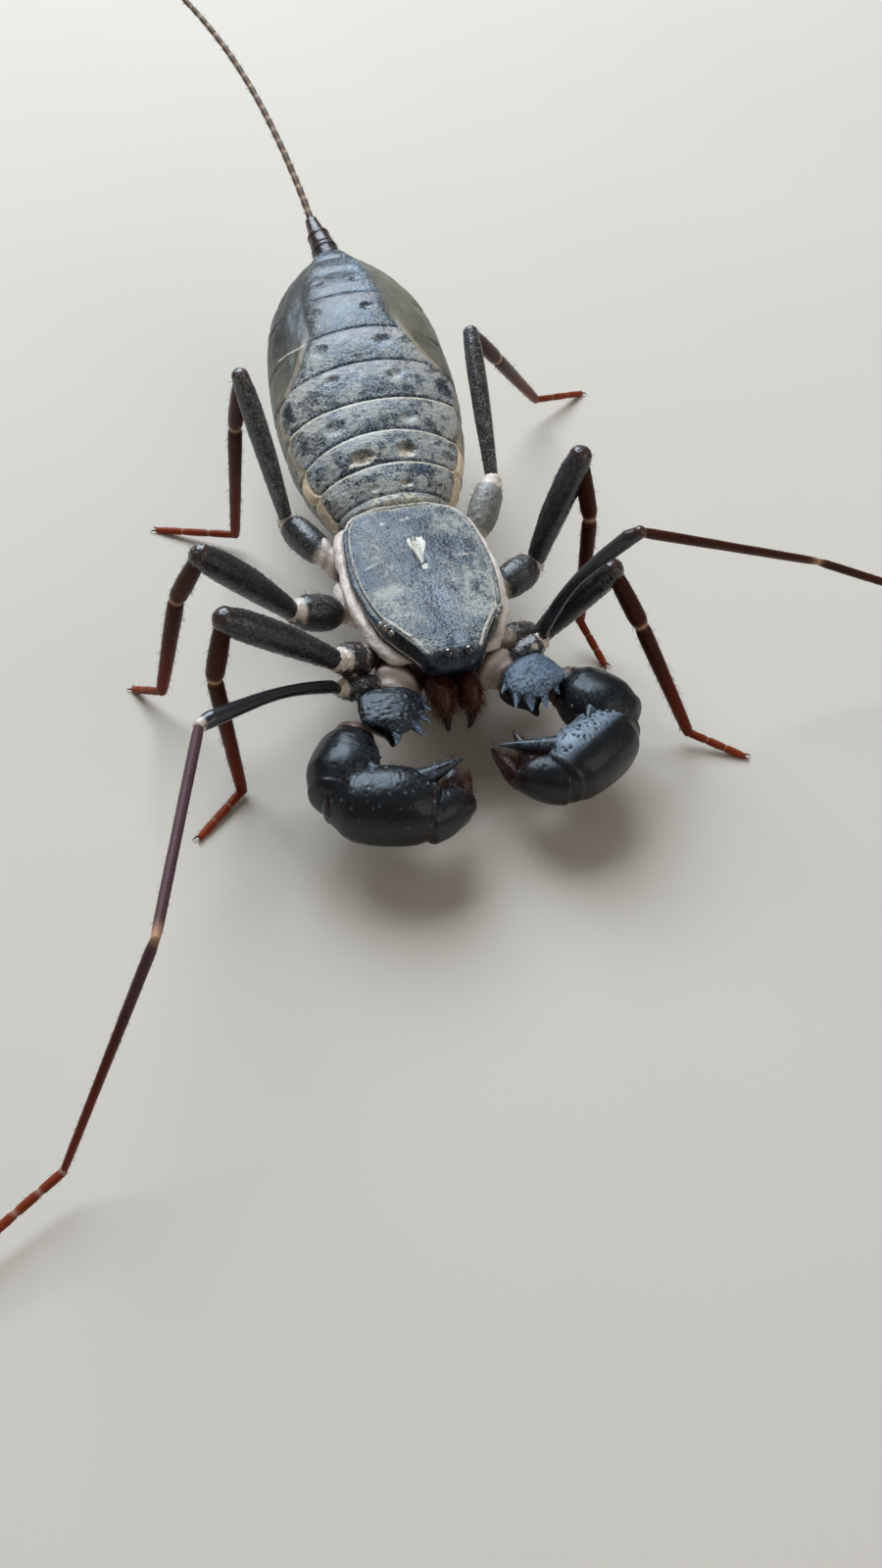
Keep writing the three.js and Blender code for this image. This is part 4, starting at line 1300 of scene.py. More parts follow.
@dataclass
class Trunk:
    """Underside of the head shield: leg bases, breast plates and the soft skin between."""

    shield: HeadShield
    coxae: tuple[Coxa, ...] = (
        Coxa((1.6, 11.6, 6.7), (4.3, 15.6, 6.7), 2.0, 1.7),
        Coxa((1.0, 11.2, 6.4), (4.9, 14.8, 6.9), 0.9, 0.8),
        Coxa((1.0, 9.6, 6.4), (5.3, 12.3, 7.2), 1.2, 1.1),
        Coxa((1.0, 6.8, 6.5), (6.3, 7.3, 7.4), 1.35, 1.2),
        Coxa((1.1, 4.2, 6.6), (6.2, 1.2, 7.5), 1.5, 1.35),
    )
    hip_skins: Table = (                                     # out, forward, up and half length
        (6.1, 6.4, 7.95, 1.6), (6.15, 0.6, 7.9, 1.25),
    )
    breast: Table = (                                        # forward, half width and half length
        (10.9, 0.9, 1.9), (7.6, 0.7, 0.9), (4.6, 1.0, 1.1),
    )
    length: float = 18.0
    lowest: float = 5.75
    breast_height: float = 5.55
    jaw_root: Point = (1.05, 14.2, 7.7)                      # out, forward and up, as the two below
    fang_root: Point = (1.05, 18.3, 7.4)
    fang_tip: Point = (0.75, 18.9, 5.3)
    jaw_length: float = 4.6
    jaw_shape: Table = ((0, 0.75, 1.1), (0.3, 0.95, 1.45), (0.75, 0.95, 1.4), (1, 0.55, 0.8))

    def build(self, coat: Coat) -> None:
        """Makes the underside, the soft skirt round the shield and the jaws.

        Args:
            coat: bristles that are added to.
        """
        model = Model(self._core())
        for side in Side:
            for coxa in self.coxae:
                model.add(self._coxa(side, coxa))
        model.add(*self._breast())
        model.build("leg_bases", "underside", BELLY, ["prosoma_underside"])
        skirt = Model(self._skirt())
        for side in Side:
            for *place, long in self.hip_skins:
                lump = ball(side.at(*place), np.array([long, 0.5, 0.75]), -FORWARD)
                skirt.add(lump.swell(0.05 * lump.clouds(0.8, 45)).paint(Layer.PALE, 1.0))
        skirt.build("shield_skirt_skin", "membrane", SOFT)
        for side in Side:
            self._jaw(side, coat)

    def _core(self) -> Skin:
        """Body of the trunk, inside the shield.

        Returns:
            Its skin.
        """
        t = np.linspace(0.02, 0.9, 90)
        wide = along(self.shield.half_width, t) * 0.88
        top = along(self.shield.margin, t) - 0.2
        ends = np.sqrt(np.clip(1 - ((t - 0.46) / 0.4401) ** 8, 0.01, 1))
        centres = np.stack([np.zeros_like(t), -t * self.length, (top + self.lowest) / 2], -1)
        across, upward = axes_along(FORWARD)
        high = (top - self.lowest) / 2 * ends
        skin = Skin(sweep(centres, across, upward, wide * ends, high, 96, 3.0), shares=t)
        skin.swell(0.08 * skin.clouds(1.2, 21, stretch=(1.0, 3.0, 1.0)))
        return skin.paint(Layer.PALE, ease(np.abs(skin.points[..., 0]), 2.4, 3.6) * 0.9)

    def _coxa(self, side: Side, coxa: Coxa) -> Skin:
        """One leg base.

        Args:
            side: side of the animal.
            coxa: its sizes.

        Returns:
            Its skin.
        """
        girths = ((0, coxa.thick * 0.6), (0.3, coxa.thick), (0.8, coxa.thin * 1.05), (1, coxa.thin * 0.72))
        shape = [(share, girth, girth) for share, girth in girths]
        skin = Limb(side.at(*coxa.inner), side.at(*coxa.outer), shape, 60, 44, cap=0.4).skin()
        ring = 0.09 * hump(skin.share, 0.84, 0.05) - 0.1 * hump(skin.share, 0.95, 0.04)
        skin.swell(ring + 0.06 * skin.clouds(1.1, 31))
        skin.grainy(0.34, 0.05, 32, 0.5)
        skin.paint(Layer.PALE, ease(skin.share, 0.74, 0.84) * 0.95)
        return skin.paint(Layer.WARM, 0.5 + 0.3 * skin.clouds(1.5, 33))

    def _breast(self) -> list[Skin]:
        """Three small plates in the middle of the underside.

        Returns:
            Their skins.
        """
        plates = []
        for forward, wide, long in self.breast:
            centre = np.array([0.0, -forward, self.breast_height])
            plate = ball(centre, np.array([long, wide, 0.45]), FORWARD, 40, 48)
            plates.append(plate.grainy(0.3, 0.03, 35, 0.5).paint(Layer.WARM, 0.6))
        return plates

    def _skirt(self) -> Skin:
        """Soft folded skin between the shield's edge and the leg bases.

        Returns:
            Its skin.
        """
        t = np.linspace(0, 1, 420)
        half = np.clip(t * 2, 0, 1), np.clip(2 - t * 2, 0, 1)
        share = np.minimum(*half) * 0.86 + 0.015
        side = np.where(t < 0.5, -1.0, 1.0)
        x = side * (along(self.shield.half_width, share) + 0.28)
        y = -share * self.shield.length
        z = along(self.shield.margin, share) - 0.72
        front = hump(t, 0.5, 0.012)
        x = x * (1 - front)
        centres = np.stack([x, y, z], -1)
        ahead = unit(np.gradient(centres, axis=0))
        across, upward = axes_along(ahead)
        bulge = 0.5 + 0.12 * Pattern.clouds(centres, 3.2, 41, 2)
        fade = np.clip(np.minimum(t, 1 - t) * 25, 0.1, 1) * (1 - 0.7 * front)
        skin = Skin(sweep(centres, across, upward, bulge * fade, 0.5 * fade, 40), shares=t)
        folds = 0.16 * skin.clouds(0.7, 42, stretch=(1.0, 0.5, 2.0))
        skin.swell(folds)
        skin.paint(Layer.PALE, 0.6 + 0.4 * skin.clouds(1.1, 43))
        tan = hump(skin.points[..., 1], -10.5, 2.0) * 0.14
        stain = ease(skin.clouds(0.7, 44), 0.0, 0.7) * 0.3 - 0.25 * folds
        return skin.paint(Layer.WARM, np.clip(tan + stain, 0, 0.5))

    def _jaw(self, side: Side, coat: Coat) -> None:
        """One of the two jaws, with its fang.

        Args:
            side: side of the animal.
            coat: bristles that are added to.
        """
        start = side.at(*self.jaw_root)
        end = start + unit([0.0, -1.0, -0.04]) * self.jaw_length
        base = Limb(start, end, self.jaw_shape, 90, 60).skin()
        base.swell(0.04 * base.clouds(0.9, 51)).paint(Layer.SHINE, 0.7)
        base.paint(Layer.WARM, ease(base.share, 0.2, 0.9) * 0.8)
        fang = thorn(side.at(*self.fang_root), side.at(*self.fang_tip), 0.5, 0.06, 0.35 * FORWARD)
        fang.paint(Layer.SHINE, 1.0).paint(Layer.DARK_AND_SHADE, fang.share * 0.7)
        Model(base, fang).build(f"jaw_{side.word}", "jaw", FINGER, [f"chelicera_{side.word}"])
        coat.grow(base, 260, (0.5, 1.3), 0.02, 0.9, lambda s: ease(s.share, 0.35, 0.9), 0.3)


# ---------------------------------------------------------------- legs


class Pair(Enum):
    """Pairs of legs from the front; the first are feelers."""

    FEELER = 1
    SECOND = 2
    THIRD = 3
    FOURTH = 4


@dataclass(frozen=True)
class LegBuild:
    """Sizes of a pair of legs: trochanter, femur, patella, tibia and tarsus."""

    hip: Point
    lengths: tuple[float, ...]
    thick: tuple[float, ...]
    bow: float


@dataclass(frozen=True)
class LegStance:
    """One leg's (heading, lift) in degrees for each segment; the tarsus has a heading only."""

    pair: Pair
    side: Side
    bends: Table


@dataclass
class Leg:
    """One leg with its segments, soft joints, claws and bristles."""

    build_of: LegBuild
    stance: LegStance
    foot_height: float = 0.18        # height of a walking leg's tip
    feeler_height: float = 1.2       # height of a feeler's tip
    claw_height: float = 0.05        # height of the claws' tips

    # Rows of share along, half width and half height as shares of the thickness, and share of the bow.
    TROCHANTER = ((0, 0.6, 0.6), (0.3, 1, 1), (0.75, 1, 1), (1, 0.65, 0.65))
    FEMUR = (
        (0, 0.66, 0.66, 0), (0.15, 0.76, 0.82, 0.5), (0.5, 0.96, 1.05, 1), (0.85, 0.98, 1.04, 0.5),
        (1, 0.82, 0.82, 0),
    )
    FEELER_FEMUR = (
        (0, 0.85, 0.85, 0), (0.1, 0.98, 0.98, 0.5), (0.5, 0.84, 0.86, 1), (0.93, 1.18, 1.18, 0.3),
        (1, 0.95, 0.95, 0),
    )
    FEELER_PATELLA = (
        (0, 0.95, 0.95), (0.06, 1.15, 1.15), (0.5, 1.05, 1.05), (0.95, 0.95, 0.95), (1, 0.8, 0.8),
    )
    PATELLA = ((0, 0.6, 0.68), (0.15, 0.78, 0.9), (0.5, 0.95, 1.06), (0.88, 1.0, 1.04), (1, 0.84, 0.84))
    TIBIA = ((0, 0.88, 0.88), (0.06, 1.14, 1.14), (0.5, 1.0, 1.08), (0.94, 0.86, 0.88), (1, 0.74, 0.74))
    TARSUS = ((0, 0.95, 0.95), (0.6, 0.95, 0.95), (0.88, 0.9, 0.9), (1, 0.8, 0.8))

    @property
    def is_feeler(self) -> bool:
        """Whether this is one of the long front legs."""
        return self.stance.pair is Pair.FEELER

    def joints(self) -> list[Array]:
        """Places of the hip, the joints and the tip.

        Returns:
            The six places from the hip to the tip.
        """
        side = self.stance.side.value
        places = [self.stance.side.at(*self.build_of.hip)]
        for length, bend in zip(self.build_of.lengths, self.stance.bends):
            turn = math.radians(bend[0])
            if len(bend) > 1:
                rise = math.radians(bend[1])
            else:
                foot = self.feeler_height if self.is_feeler else self.foot_height
                rise = math.asin((foot - places[-1][2]) / length)
            level = math.cos(rise)
            step = np.array([side * math.cos(turn) * level, -math.sin(turn) * level, math.sin(rise)])
            places.append(places[-1] + step * length)
        return places

    def build(self, soft: Model, coat: Coat) -> None:
        """Makes the leg's pieces.

        Args:
            soft: joint skins that are added to.
            coat: bristles that are added to.
        """
        places = self.joints()
        name = f"leg{self.stance.pair.value}_{self.stance.side.word}"
        seed = 100 * self.stance.pair.value + (7 if self.stance.side is Side.LEFT else 0)
        self._trochanter(places, name, seed, coat)
        self._femur(places, name, seed, coat)
        patella = self._run(places, 2, self.FEELER_PATELLA if self.is_feeler else self.PATELLA, seed + 3, 120)
        tibia = self._run(places, 3, self.TIBIA, seed + 4, 130)
        self._shade_shin(patella, tibia)
        hair = (0.15, 0.4) if self.is_feeler else (0.25, 0.7)
        coat.grow(patella, 90, hair, 0.014, 0.75)
        coat.grow(tibia, 260, hair, 0.014, 0.8)
        if self.is_feeler:
            Model(patella).build(f"{name}_patella_cuticle", "shin", SHIN, [f"{name}_patella"])
            Model(tibia).build(f"{name}_tibia_cuticle", "tarsus", SHIN, [f"{name}_tibia"])
        else:
            Model(patella, tibia).build(f"{name}_shin_cuticle", "shin", SHIN, [f"{name}_shin"])
        self._foot(places, name, seed + 5, coat)
        self._soft_joints(places, soft, seed)

    def _shape(self, table: Table, index: int) -> list[tuple[float, ...]]:
        """A table of shares as sizes in millimetres for one of the segments."""
        thick, bow = self.build_of.thick[index], self.build_of.bow
        return [(s[0], s[1] * thick, s[2] * thick, (s[3] if len(s) > 3 else 0) * bow) for s in table]

    def _run(self, places: list[Array], index: int, table: Table, seed: int, rows: int) -> Skin:
        """One segment's bare skin with slight unevenness."""
        skin = Limb(places[index], places[index + 1], self._shape(table, index), rows, 44, cap=0.7).skin()
        return skin.swell(0.03 * self.build_of.thick[index] * skin.clouds(0.9, seed))

    def _trochanter(self, places: list[Array], name: str, seed: int, coat: Coat) -> None:
        """The short bean next to the hip.

        Args:
            places: the hip, the joints and the tip.
            name: the leg's name.
            seed: which patterns it gets.
            coat: bristles that are added to.
        """
        thick = self.build_of.thick[0]
        shape = self._shape(self.TROCHANTER, 0)
        skin = Limb(places[0], places[1], shape, 90, 76, cap=0.8, corner=2.2).skin()
        is_front = self.stance.pair in (Pair.FEELER, Pair.SECOND)
        skin.swell((0.12 if is_front else 0.05) * skin.clouds(0.9, seed, 2))
        skin.grainy(0.34, 0.085 if is_front else 0.06, seed + 1, 0.6, 0.8).grainy(0.2, 0.03, seed + 2, 0.8)
        up = np.sin(skin.turn)
        mottle = skin.clouds(0.7, seed)
        skin.paint(Layer.PALE, ease(skin.share, 0.84, 0.92) * ease(up + 0.5 * mottle, -0.5, 0.2))
        skin.paint(Layer.PALE, ease(skin.share, 0.16, 0.03) * 0.95)
        if is_front:
            skin.paint(Layer.PALE, ease(mottle, 0.25, 0.6) * 0.7)
            skin.paint(Layer.WARM, ease(mottle, -0.1, -0.5) * 0.8)
        # Lighter on the upward side: dust, and painted sheen strongest on the left hind leg.
        dust_and_sheen_share = 0.9 if (self.stance.pair, self.stance.side) == (Pair.FOURTH, Side.LEFT) else 0.16
        skin.paint(Layer.DUST_AND_SHEEN, dust_and_sheen_share * ease(up, -0.4, 0.7) * (0.85 + 0.3 * mottle))
        skin.paint(Layer.DARK_AND_SHADE, ease(skin.clouds(0.5, seed + 5), 0.25, 0.8) * 0.6)
        Model(skin).build(f"{name}_trochanter_cuticle", "femur", THIGH, [f"{name}_trochanter"])
        coat.grow(skin, int(60 * thick), (0.3, 0.7), 0.018, 0.5)

    def _femur(self, places: list[Array], name: str, seed: int, coat: Coat) -> None:
        """The long thigh.

        Args:
            places: the hip, the joints and the tip.
            name: the leg's name.
            seed: which patterns it gets.
            coat: bristles that are added to.
        """
        thick = self.build_of.thick[1]
        shape = self._shape(self.FEELER_FEMUR if self.is_feeler else self.FEMUR, 1)
        skin = Limb(places[1], places[2], shape, 180, 70, cap=0.85).skin()
        skin.swell(0.025 * thick * skin.clouds(1.4, seed))
        if self.is_feeler:
            skin.swell(0.02 * ease(skin.share, 0.5, 0.1) * Pattern.granules(skin.points, 0.3, seed + 1, 0.7))
            skin.paint(Layer.SHINE, 0.45 + 0.35 * ease(skin.share, 0.1, 0.5))
        else:
            grain = 0.022 if self.stance.pair is Pair.FOURTH else 0.055
            skin.grainy(0.3, grain, seed + 1, 0.6, 0.8).grainy(0.17, 0.4 * grain, seed + 2, 0.8)
            # Lighter on the upward side: dust and painted sheen.
            dust_and_sheen_share = 0.26 if self.stance.pair is Pair.FOURTH else 0.1
            up = np.sin(skin.turn)
            skin.paint(Layer.DUST_AND_SHEEN, dust_and_sheen_share * ease(up, -0.8, 0.4) * (0.8 + 0.3 * skin.clouds(2.0, seed)))
            skin.paint(Layer.SHINE, 0.4 + 0.3 * ease(skin.share, 0.8, 1.0))
        skin.paint(Layer.WARM, ease(skin.share, 0.97, 1.03) * 0.5)
        skin.paint(Layer.PALE, ease(skin.share, 0.03, -0.02) * 0.7)
        if self.is_feeler:
            knobs = ease(skin.share, 0.975, 0.995) * ease(skin.clouds(0.4, seed), -0.5, 0)
            skin.paint(Layer.PALE if self.stance.side is Side.RIGHT else Layer.WARM, knobs)
        Model(skin).build(f"{name}_femur_cuticle", "femur", THIGH, [f"{name}_femur"])
        coat.grow(skin, 60 if self.is_feeler else 110, (0.2, 0.5), 0.013, 0.7)

    def _shade_shin(self, patella: Skin, tibia: Skin) -> None:
        """Warms the shin towards the foot and marks the joint's pale ring.

        Args:
            patella: skin of the shin's first length.
            tibia: skin of its second length.
        """
        patella.paint(Layer.WARM, 0.04 + 0.16 * patella.share + 0.15 * hump(patella.share, 0, 0.12))
        patella.paint(Layer.SHINE, 0.4)
        patella.paint(Layer.PALE, 0.85 * hump(patella.share, 1.0, 0.04))
        tibia.paint(Layer.WARM, 0.1 + 0.8 * ease(tibia.share, 0.1, 1.0))
        tibia.paint(Layer.SHINE, 0.35)
        tibia.paint(Layer.PALE, 0.6 * hump(tibia.share, 0.0, 0.02))
        if self.is_feeler:
            patella.layers[Layer.WARM] = patella.layers[Layer.WARM] * 0.5 + 0.1
        if self.is_feeler and self.stance.side is Side.RIGHT:
            patella.paint(Layer.DUST_AND_SHEEN, 0.8 + 0.1 * np.sin(patella.share * 160))
            tibia.paint(Layer.DUST_AND_SHEEN, 0.8 * ease(tibia.share, 0.6, 0.0))

    def _foot(self, places: list[Array], name: str, seed: int, coat: Coat) -> None:
        """The tarsus: short rings, and claws on a walking leg.

        Args:
            places: the hip, the joints and the tip.
            name: the leg's name.
            seed: which patterns it gets.
            coat: bristles that are added to.
        """
        thick = self.build_of.thick[4]
        start, end = places[4], places[5]
        rings = 8 if self.is_feeler else 3
        skin = Limb(start, end, self._shape(self.TARSUS, 4), 120, 36, cap=0.8).skin()
        steps = [k / rings for k in range(1, rings)]
        groove = -0.13 * thick * sum(hump(skin.share, k, 0.012) for k in steps)
        swelling = 0.1 * thick * np.sin(math.pi * ((skin.share * rings) % 1)) ** 0.7
        swelling = swelling * (skin.share > 0) * (skin.share < 1)
        skin.swell(groove + swelling)
        skin.paint(Layer.WARM, 0.25 + 0.6 * skin.share)
        skin.paint(Layer.PALE, sum(hump(skin.share, k, 0.01) for k in steps) * 0.35)
        model = Model(skin)
        ahead = unit(end - start)
        across, _ = axes_along(ahead)
        if not self.is_feeler:
            for way in (-1, 1):
                root = end + across * way * 0.1 + UP * 0.02
                tip = end + ahead * 0.62 + across * way * 0.34
                tip[2] = self.claw_height
                model.add(thorn(root, tip, 0.1, 0.02, UP * 0.12).paint(Layer.SHINE, 1.0))
        for piece in model.skins:
            piece.above(FLOOR_GAP)
        model.build(f"{name}_tarsus_cuticle", "tarsus", FOOT, [f"{name}_tarsus"])
        high = None if self.is_feeler else (lambda s: ease(s.points[..., 2], 0.1, 0.5))
        coat.grow(skin, 200 if self.is_feeler else 110, (0.15, 0.45), 0.012, 0.85, high)

    def _soft_joints(self, places: list[Array], soft: Model, seed: int) -> None:
        """Pale skin that shows where two segments meet.

        Args:
            places: the hip, the joints and the tip.
            soft: joint skins that are added to.
            seed: which patterns it gets.
        """
        thick = self.build_of.thick
        sizes = (
            thick[0] * 0.68, min(thick[0], thick[1] * 1.05) * 0.74,
            thick[2] * (1.0 if self.is_feeler else 0.9), thick[3] * 0.86, thick[4],
        )
        knee = (0.25 if self.stance.side is Side.RIGHT else 0.6) if self.is_feeler else 0.08
        for index, (size, warmth) in enumerate(zip(sizes, (0.0, 0.0, knee, 0.4, 0.85))):
            before = places[index - 1] if index else places[0] + (places[0] - places[1])
            axis = unit(places[index + 1] - before)
            ways = unit(np.stack([before - places[index], places[index + 1] - places[index]]))
            inner = ways.sum(0) * (index > 1)
            skin = ball(places[index] + 0.3 * size * inner, np.array([size * 1.15, size, size]), axis, 26, 32)
            skin.swell(0.1 * size * skin.clouds(0.5, seed + index, 2))
            soft.add(skin.paint(Layer.WARM, warmth).above(FLOOR_GAP))


LEG_BUILDS: dict[Pair, LegBuild] = {
    Pair.FEELER: LegBuild((4.9, 14.8, 6.9), (3.4, 12.8, 18.3, 17, 13.2), (0.9, 0.5, 0.32, 0.28, 0.27), 1.1),
    Pair.SECOND: LegBuild((5.3, 12.3, 7.2), (4.2, 10, 5.3, 10.5, 4.8), (1.2, 1.05, 0.66, 0.52, 0.3), 0.15),
    Pair.THIRD: LegBuild((6.3, 7.3, 7.4), (4.3, 10.3, 5.4, 10, 4.2), (1.3, 1.02, 0.62, 0.52, 0.3), 0.15),
    Pair.FOURTH: LegBuild((6.2, 1.2, 7.5), (5.3, 13.1, 6.2, 13.2, 7.5), (1.2, 0.78, 0.6, 0.5, 0.3), 0.1),
}
LEG_STANCES: tuple[LegStance, ...] = (
    LegStance(Pair.FEELER, Side.RIGHT, ((10, 15), (28, 23), (76, 12), (37, -55), (30,))),
    LegStance(Pair.SECOND, Side.RIGHT, ((37, 36), (4, 39), (16, -77), (110, -77), (42,))),
    LegStance(Pair.THIRD, Side.RIGHT, ((14, 23), (13, 51), (-32, -64), (-10, -77), (-52,))),
    LegStance(Pair.FOURTH, Side.RIGHT, ((-64, 1), (-36, 76), (-76, -70), (-76, -79), (-28,))),
    LegStance(Pair.FEELER, Side.LEFT, ((-21, 17), (26, 66), (-6, -23), (9, -21), (34,))),
    LegStance(Pair.SECOND, Side.LEFT, ((-21, -28), (35, 63), (37, -55), (46, -55), (32,))),
    LegStance(Pair.THIRD, Side.LEFT, ((-30, 3), (-7, 76), (45, -72), (77, -82), (64,))),
    LegStance(Pair.FOURTH, Side.LEFT, ((-59, 25), (-86, 30), (-36, -46), (-42, -45), (-28,))),
)


# ---------------------------------------------------------------- claw arms


class Segment(Enum):
    """Segments of a claw arm from the body outwards."""

    TROCHANTER = "trochanter"
    FEMUR = "femur"
    PATELLA = "patella"
    TIBIA = "tibia"
    TARSUS = "tarsus"


@dataclass(frozen=True)
class Stand:
    """Start of a claw arm segment (out, forward, up) and its heading in degrees outwards."""

    start: Point
    heading: float


@dataclass(frozen=True)
class Tooth:
    """Spike on a claw arm: (along, inward, up) of its root and its tip, and its thickness."""

    root: Point
    tip: Point
    thick: float
    thin: float = 0.05


@dataclass(frozen=True)
class Crest:
    """Rough plate on an arm's first segment: outline rows of (along, outer, inner), teeth, and its share of
    dust and painted sheen.
    """

    outline: Table
    teeth: tuple[Tooth, ...]
    dust_and_sheen_share: float


@dataclass
class ClawArm:
    """One of the two heavy claw arms."""

    side: Side
    stands: dict[Segment, Stand]
    dotted: bool                     # pale dots on the patella instead of a pitted net
    crest: Crest
    spur: tuple[Tooth, ...]          # the patella's long spike and the teeth on it

    LENGTHS = {
        Segment.TROCHANTER: 3.6, Segment.FEMUR: 5.0, Segment.PATELLA: 6.9, Segment.TIBIA: 3.2,
        Segment.TARSUS: 3.5,
    }
    # Rows of share along, half width and half height in millimetres, and lift of the middle line.
    SHAPES = {
        Segment.TROCHANTER: (
            (0, 1.3, 1.2, 0), (0.2, 2.0, 1.5, -0.25), (0.45, 1.7, 1.2, -0.4), (0.6, 1.1, 0.8, -0.5),
            (0.78, 0.5, 0.45, -0.5), (1, 0.2, 0.2, -0.4),
        ),
        Segment.FEMUR: ((0, 1.6, 1.8), (0.22, 2.15, 2.4), (0.7, 2.4, 2.6), (1, 1.9, 2.1)),
        Segment.PATELLA: (
            (0, 1.5, 1.6), (0.18, 2.35, 2.5), (0.5, 2.6, 2.75), (0.85, 2.3, 2.5), (1, 1.9, 2.1),
        ),
        Segment.TIBIA: ((0, 1.7, 1.9), (0.4, 1.5, 1.75), (0.8, 0.95, 1.2), (1, 0.55, 0.7)),
        Segment.TARSUS: ((0, 0.6, 0.85), (0.3, 0.62, 0.85), (0.7, 0.42, 0.5), (1, 0.16, 0.16)),
    }
    TEETH = {
        Segment.FEMUR: (
            Tooth((2.8, 1.3, 1.2), (3.6, 3.4, 1.9), 0.85), Tooth((1.6, 1.5, 1.0), (1.8, 2.6, 1.3), 0.5),
        ),
        Segment.PATELLA: (Tooth((2.2, 1.8, 1.0), (2.6, 2.9, 1.1), 0.45),),
        Segment.TIBIA: (
            Tooth((1.9, 0.6, 0.4), (3.6, 3.6, 1.2), 1.0), Tooth((2.7, 1.9, 0.8), (3.2, 2.3, 1.2), 0.2),
        ),
        Segment.TARSUS: (
            Tooth((1.0, 0.4, 0.3), (1.3, 0.8, 0.4), 0.14), Tooth((1.8, 0.3, 0.3), (2.1, 0.65, 0.4), 0.12),
        ),
    }

    def teeth(self, segment: Segment) -> tuple[Tooth, ...]:
        """The spikes of a segment, the arm's own ones first."""
        own = {Segment.TROCHANTER: self.crest.teeth, Segment.PATELLA: self.spur}
        return own.get(segment, ()) + self.TEETH.get(segment, ())

    def axes(self, segment: Segment) -> tuple[Array, Array, Array]:
        """Start, direction and inward axis of a segment.

        Args:
            segment: which one.

        Returns:
            The three vectors.
        """
        stand = self.stands[segment]
        turn = math.radians(stand.heading)
        sign = self.side.value
        ahead = np.array([sign * math.sin(turn), -math.cos(turn), 0.0])
        inward = np.array([-sign * math.cos(turn), -math.sin(turn), 0.0])
        return self.side.at(*stand.start), ahead, inward

    def build(self, soft: Model, coat: Coat) -> None:
        """Makes the arm's pieces.

        Args:
            soft: joint skins that are added to.
            coat: bristles that are added to.
        """
        for index, segment in enumerate(Segment):
            model = self._segment(segment, 500 + 20 * index + (9 if self.side is Side.LEFT else 0))
            node = f"pedipalp_{self.side.word}_{segment.value}"
            slot, finish = ("finger", FINGER) if segment is Segment.TARSUS else ("claw_arm", CLAW)
            model.build(f"{node}_cuticle", slot, finish, [node])
            self._bristles(segment, model, coat)
            self._joint_skin(segment, soft)

    def _segment(self, segment: Segment, seed: int) -> Model:
        """One segment with its teeth.

        Args:
            segment: which one.
            seed: which patterns it gets.

        Returns:
            The piece, whose first skin is the segment's barrel.
        """
        start, ahead, inward = self.axes(segment)
        end = start + ahead * self.LENGTHS[segment]
        rows, columns = {Segment.TARSUS: (100, 56), Segment.PATELLA: (170, 190)}.get(segment, (130, 100))
        skin = Limb(start, end, self.SHAPES[segment], rows, columns, cap=0.5, corner=2.25).skin()
        local = skin.points - start
        s, inner, up = local @ ahead, local @ inward, local[..., 2]
        skin.swell(0.06 * skin.clouds(2.2, seed))
        for tooth in self.teeth(segment) if segment is not Segment.TROCHANTER else ():
            gap = np.linalg.norm(np.stack([s, inner, up], -1) - np.array(tooth.root), axis=-1)
            skin.swell(0.5 * tooth.thick * hump(gap, 0, 1.7 * tooth.thick))
        top = ease(skin.normals()[..., 2], -0.1, 0.75)
        self._texture(segment, skin, top, seed, s, inner)
        model = Model(skin)
        if segment is Segment.TROCHANTER:
            model.add(self._crest(seed + 7))
        for number, tooth in enumerate(self.teeth(segment)):
            root, tip = (start + ahead * p[0] + inward * p[1] + UP * p[2] for p in (tooth.root, tooth.tip))
            if segment is Segment.TROCHANTER:
                spike = thorn(root, tip, tooth.thick, tooth.thin, flare=0.5, rows=36, columns=24, flat=0.5)
                spike.paint(Layer.DUST_AND_SHEEN, 0.25 + 0.3 * spike.share)
            else:
                spike = thorn(root, tip, tooth.thick, tooth.thin, UP * 0.12 + ahead * 0.05, 0.5, 44, 28)
                # Lighter on the upper side, as painted sheen.
                spike.paint(Layer.DUST_AND_SHEEN, 0.2 * ease(spike.normals()[..., 2], 0.2, 0.8))
            spike.swell(0.02 * spike.clouds(0.4, seed + number, 2))
            spike.paint(Layer.SHINE, 0.3 + 0.4 * spike.share)
            if segment in (Segment.TIBIA, Segment.TARSUS):
                spike.paint(Layer.WARM, 0.3 + 0.6 * spike.share)
            model.add(spike)
        return model

    def _crest(self, seed: int) -> Skin:
        """The rough plate on top of the first segment, which carries its teeth.

        Args:
            seed: which patterns it gets.

        Returns:
            Its skin.
        """
        start, ahead, inward = self.axes(Segment.TROCHANTER)
        across, _ = axes_along(ahead)
        t = shares_of(110, 0.5)
        outline = self.crest.outline
        forth = outline[0][0] + (outline[-1][0] - outline[0][0]) * t
        outer, inner = (along([(row[0], row[k]) for row in outline], forth) for k in (1, 2))
        half = np.maximum((inner - outer) / 2, 0.1)
        centres = start + forth[:, None] * ahead + ((inner + outer) / 2)[:, None] * inward
        centres = centres + UP * (1.62 - 0.3 * t[:, None] ** 2)
        skin = Skin(sweep(centres, across, UP, half, 0.34 * np.minimum(1, half / 1.7), 150, 2.5), shares=t)
        aside = (skin.points - start) @ inward
        skin.points[..., 2] += 0.3 * (1 - (aside / 2.4) ** 2) - 0.25 * ease(t, 0.25, 0)[:, None]
        skin.swell(0.05 * skin.clouds(1.3, seed, 2)).grainy(0.4, 0.07, seed + 1, 0.65, 0.4)
        # Bluish dust and painted sheen over the plate.
        return skin.paint(Layer.DUST_AND_SHEEN, self.crest.dust_and_sheen_share + 0.2 * skin.clouds(0.9, seed + 3))

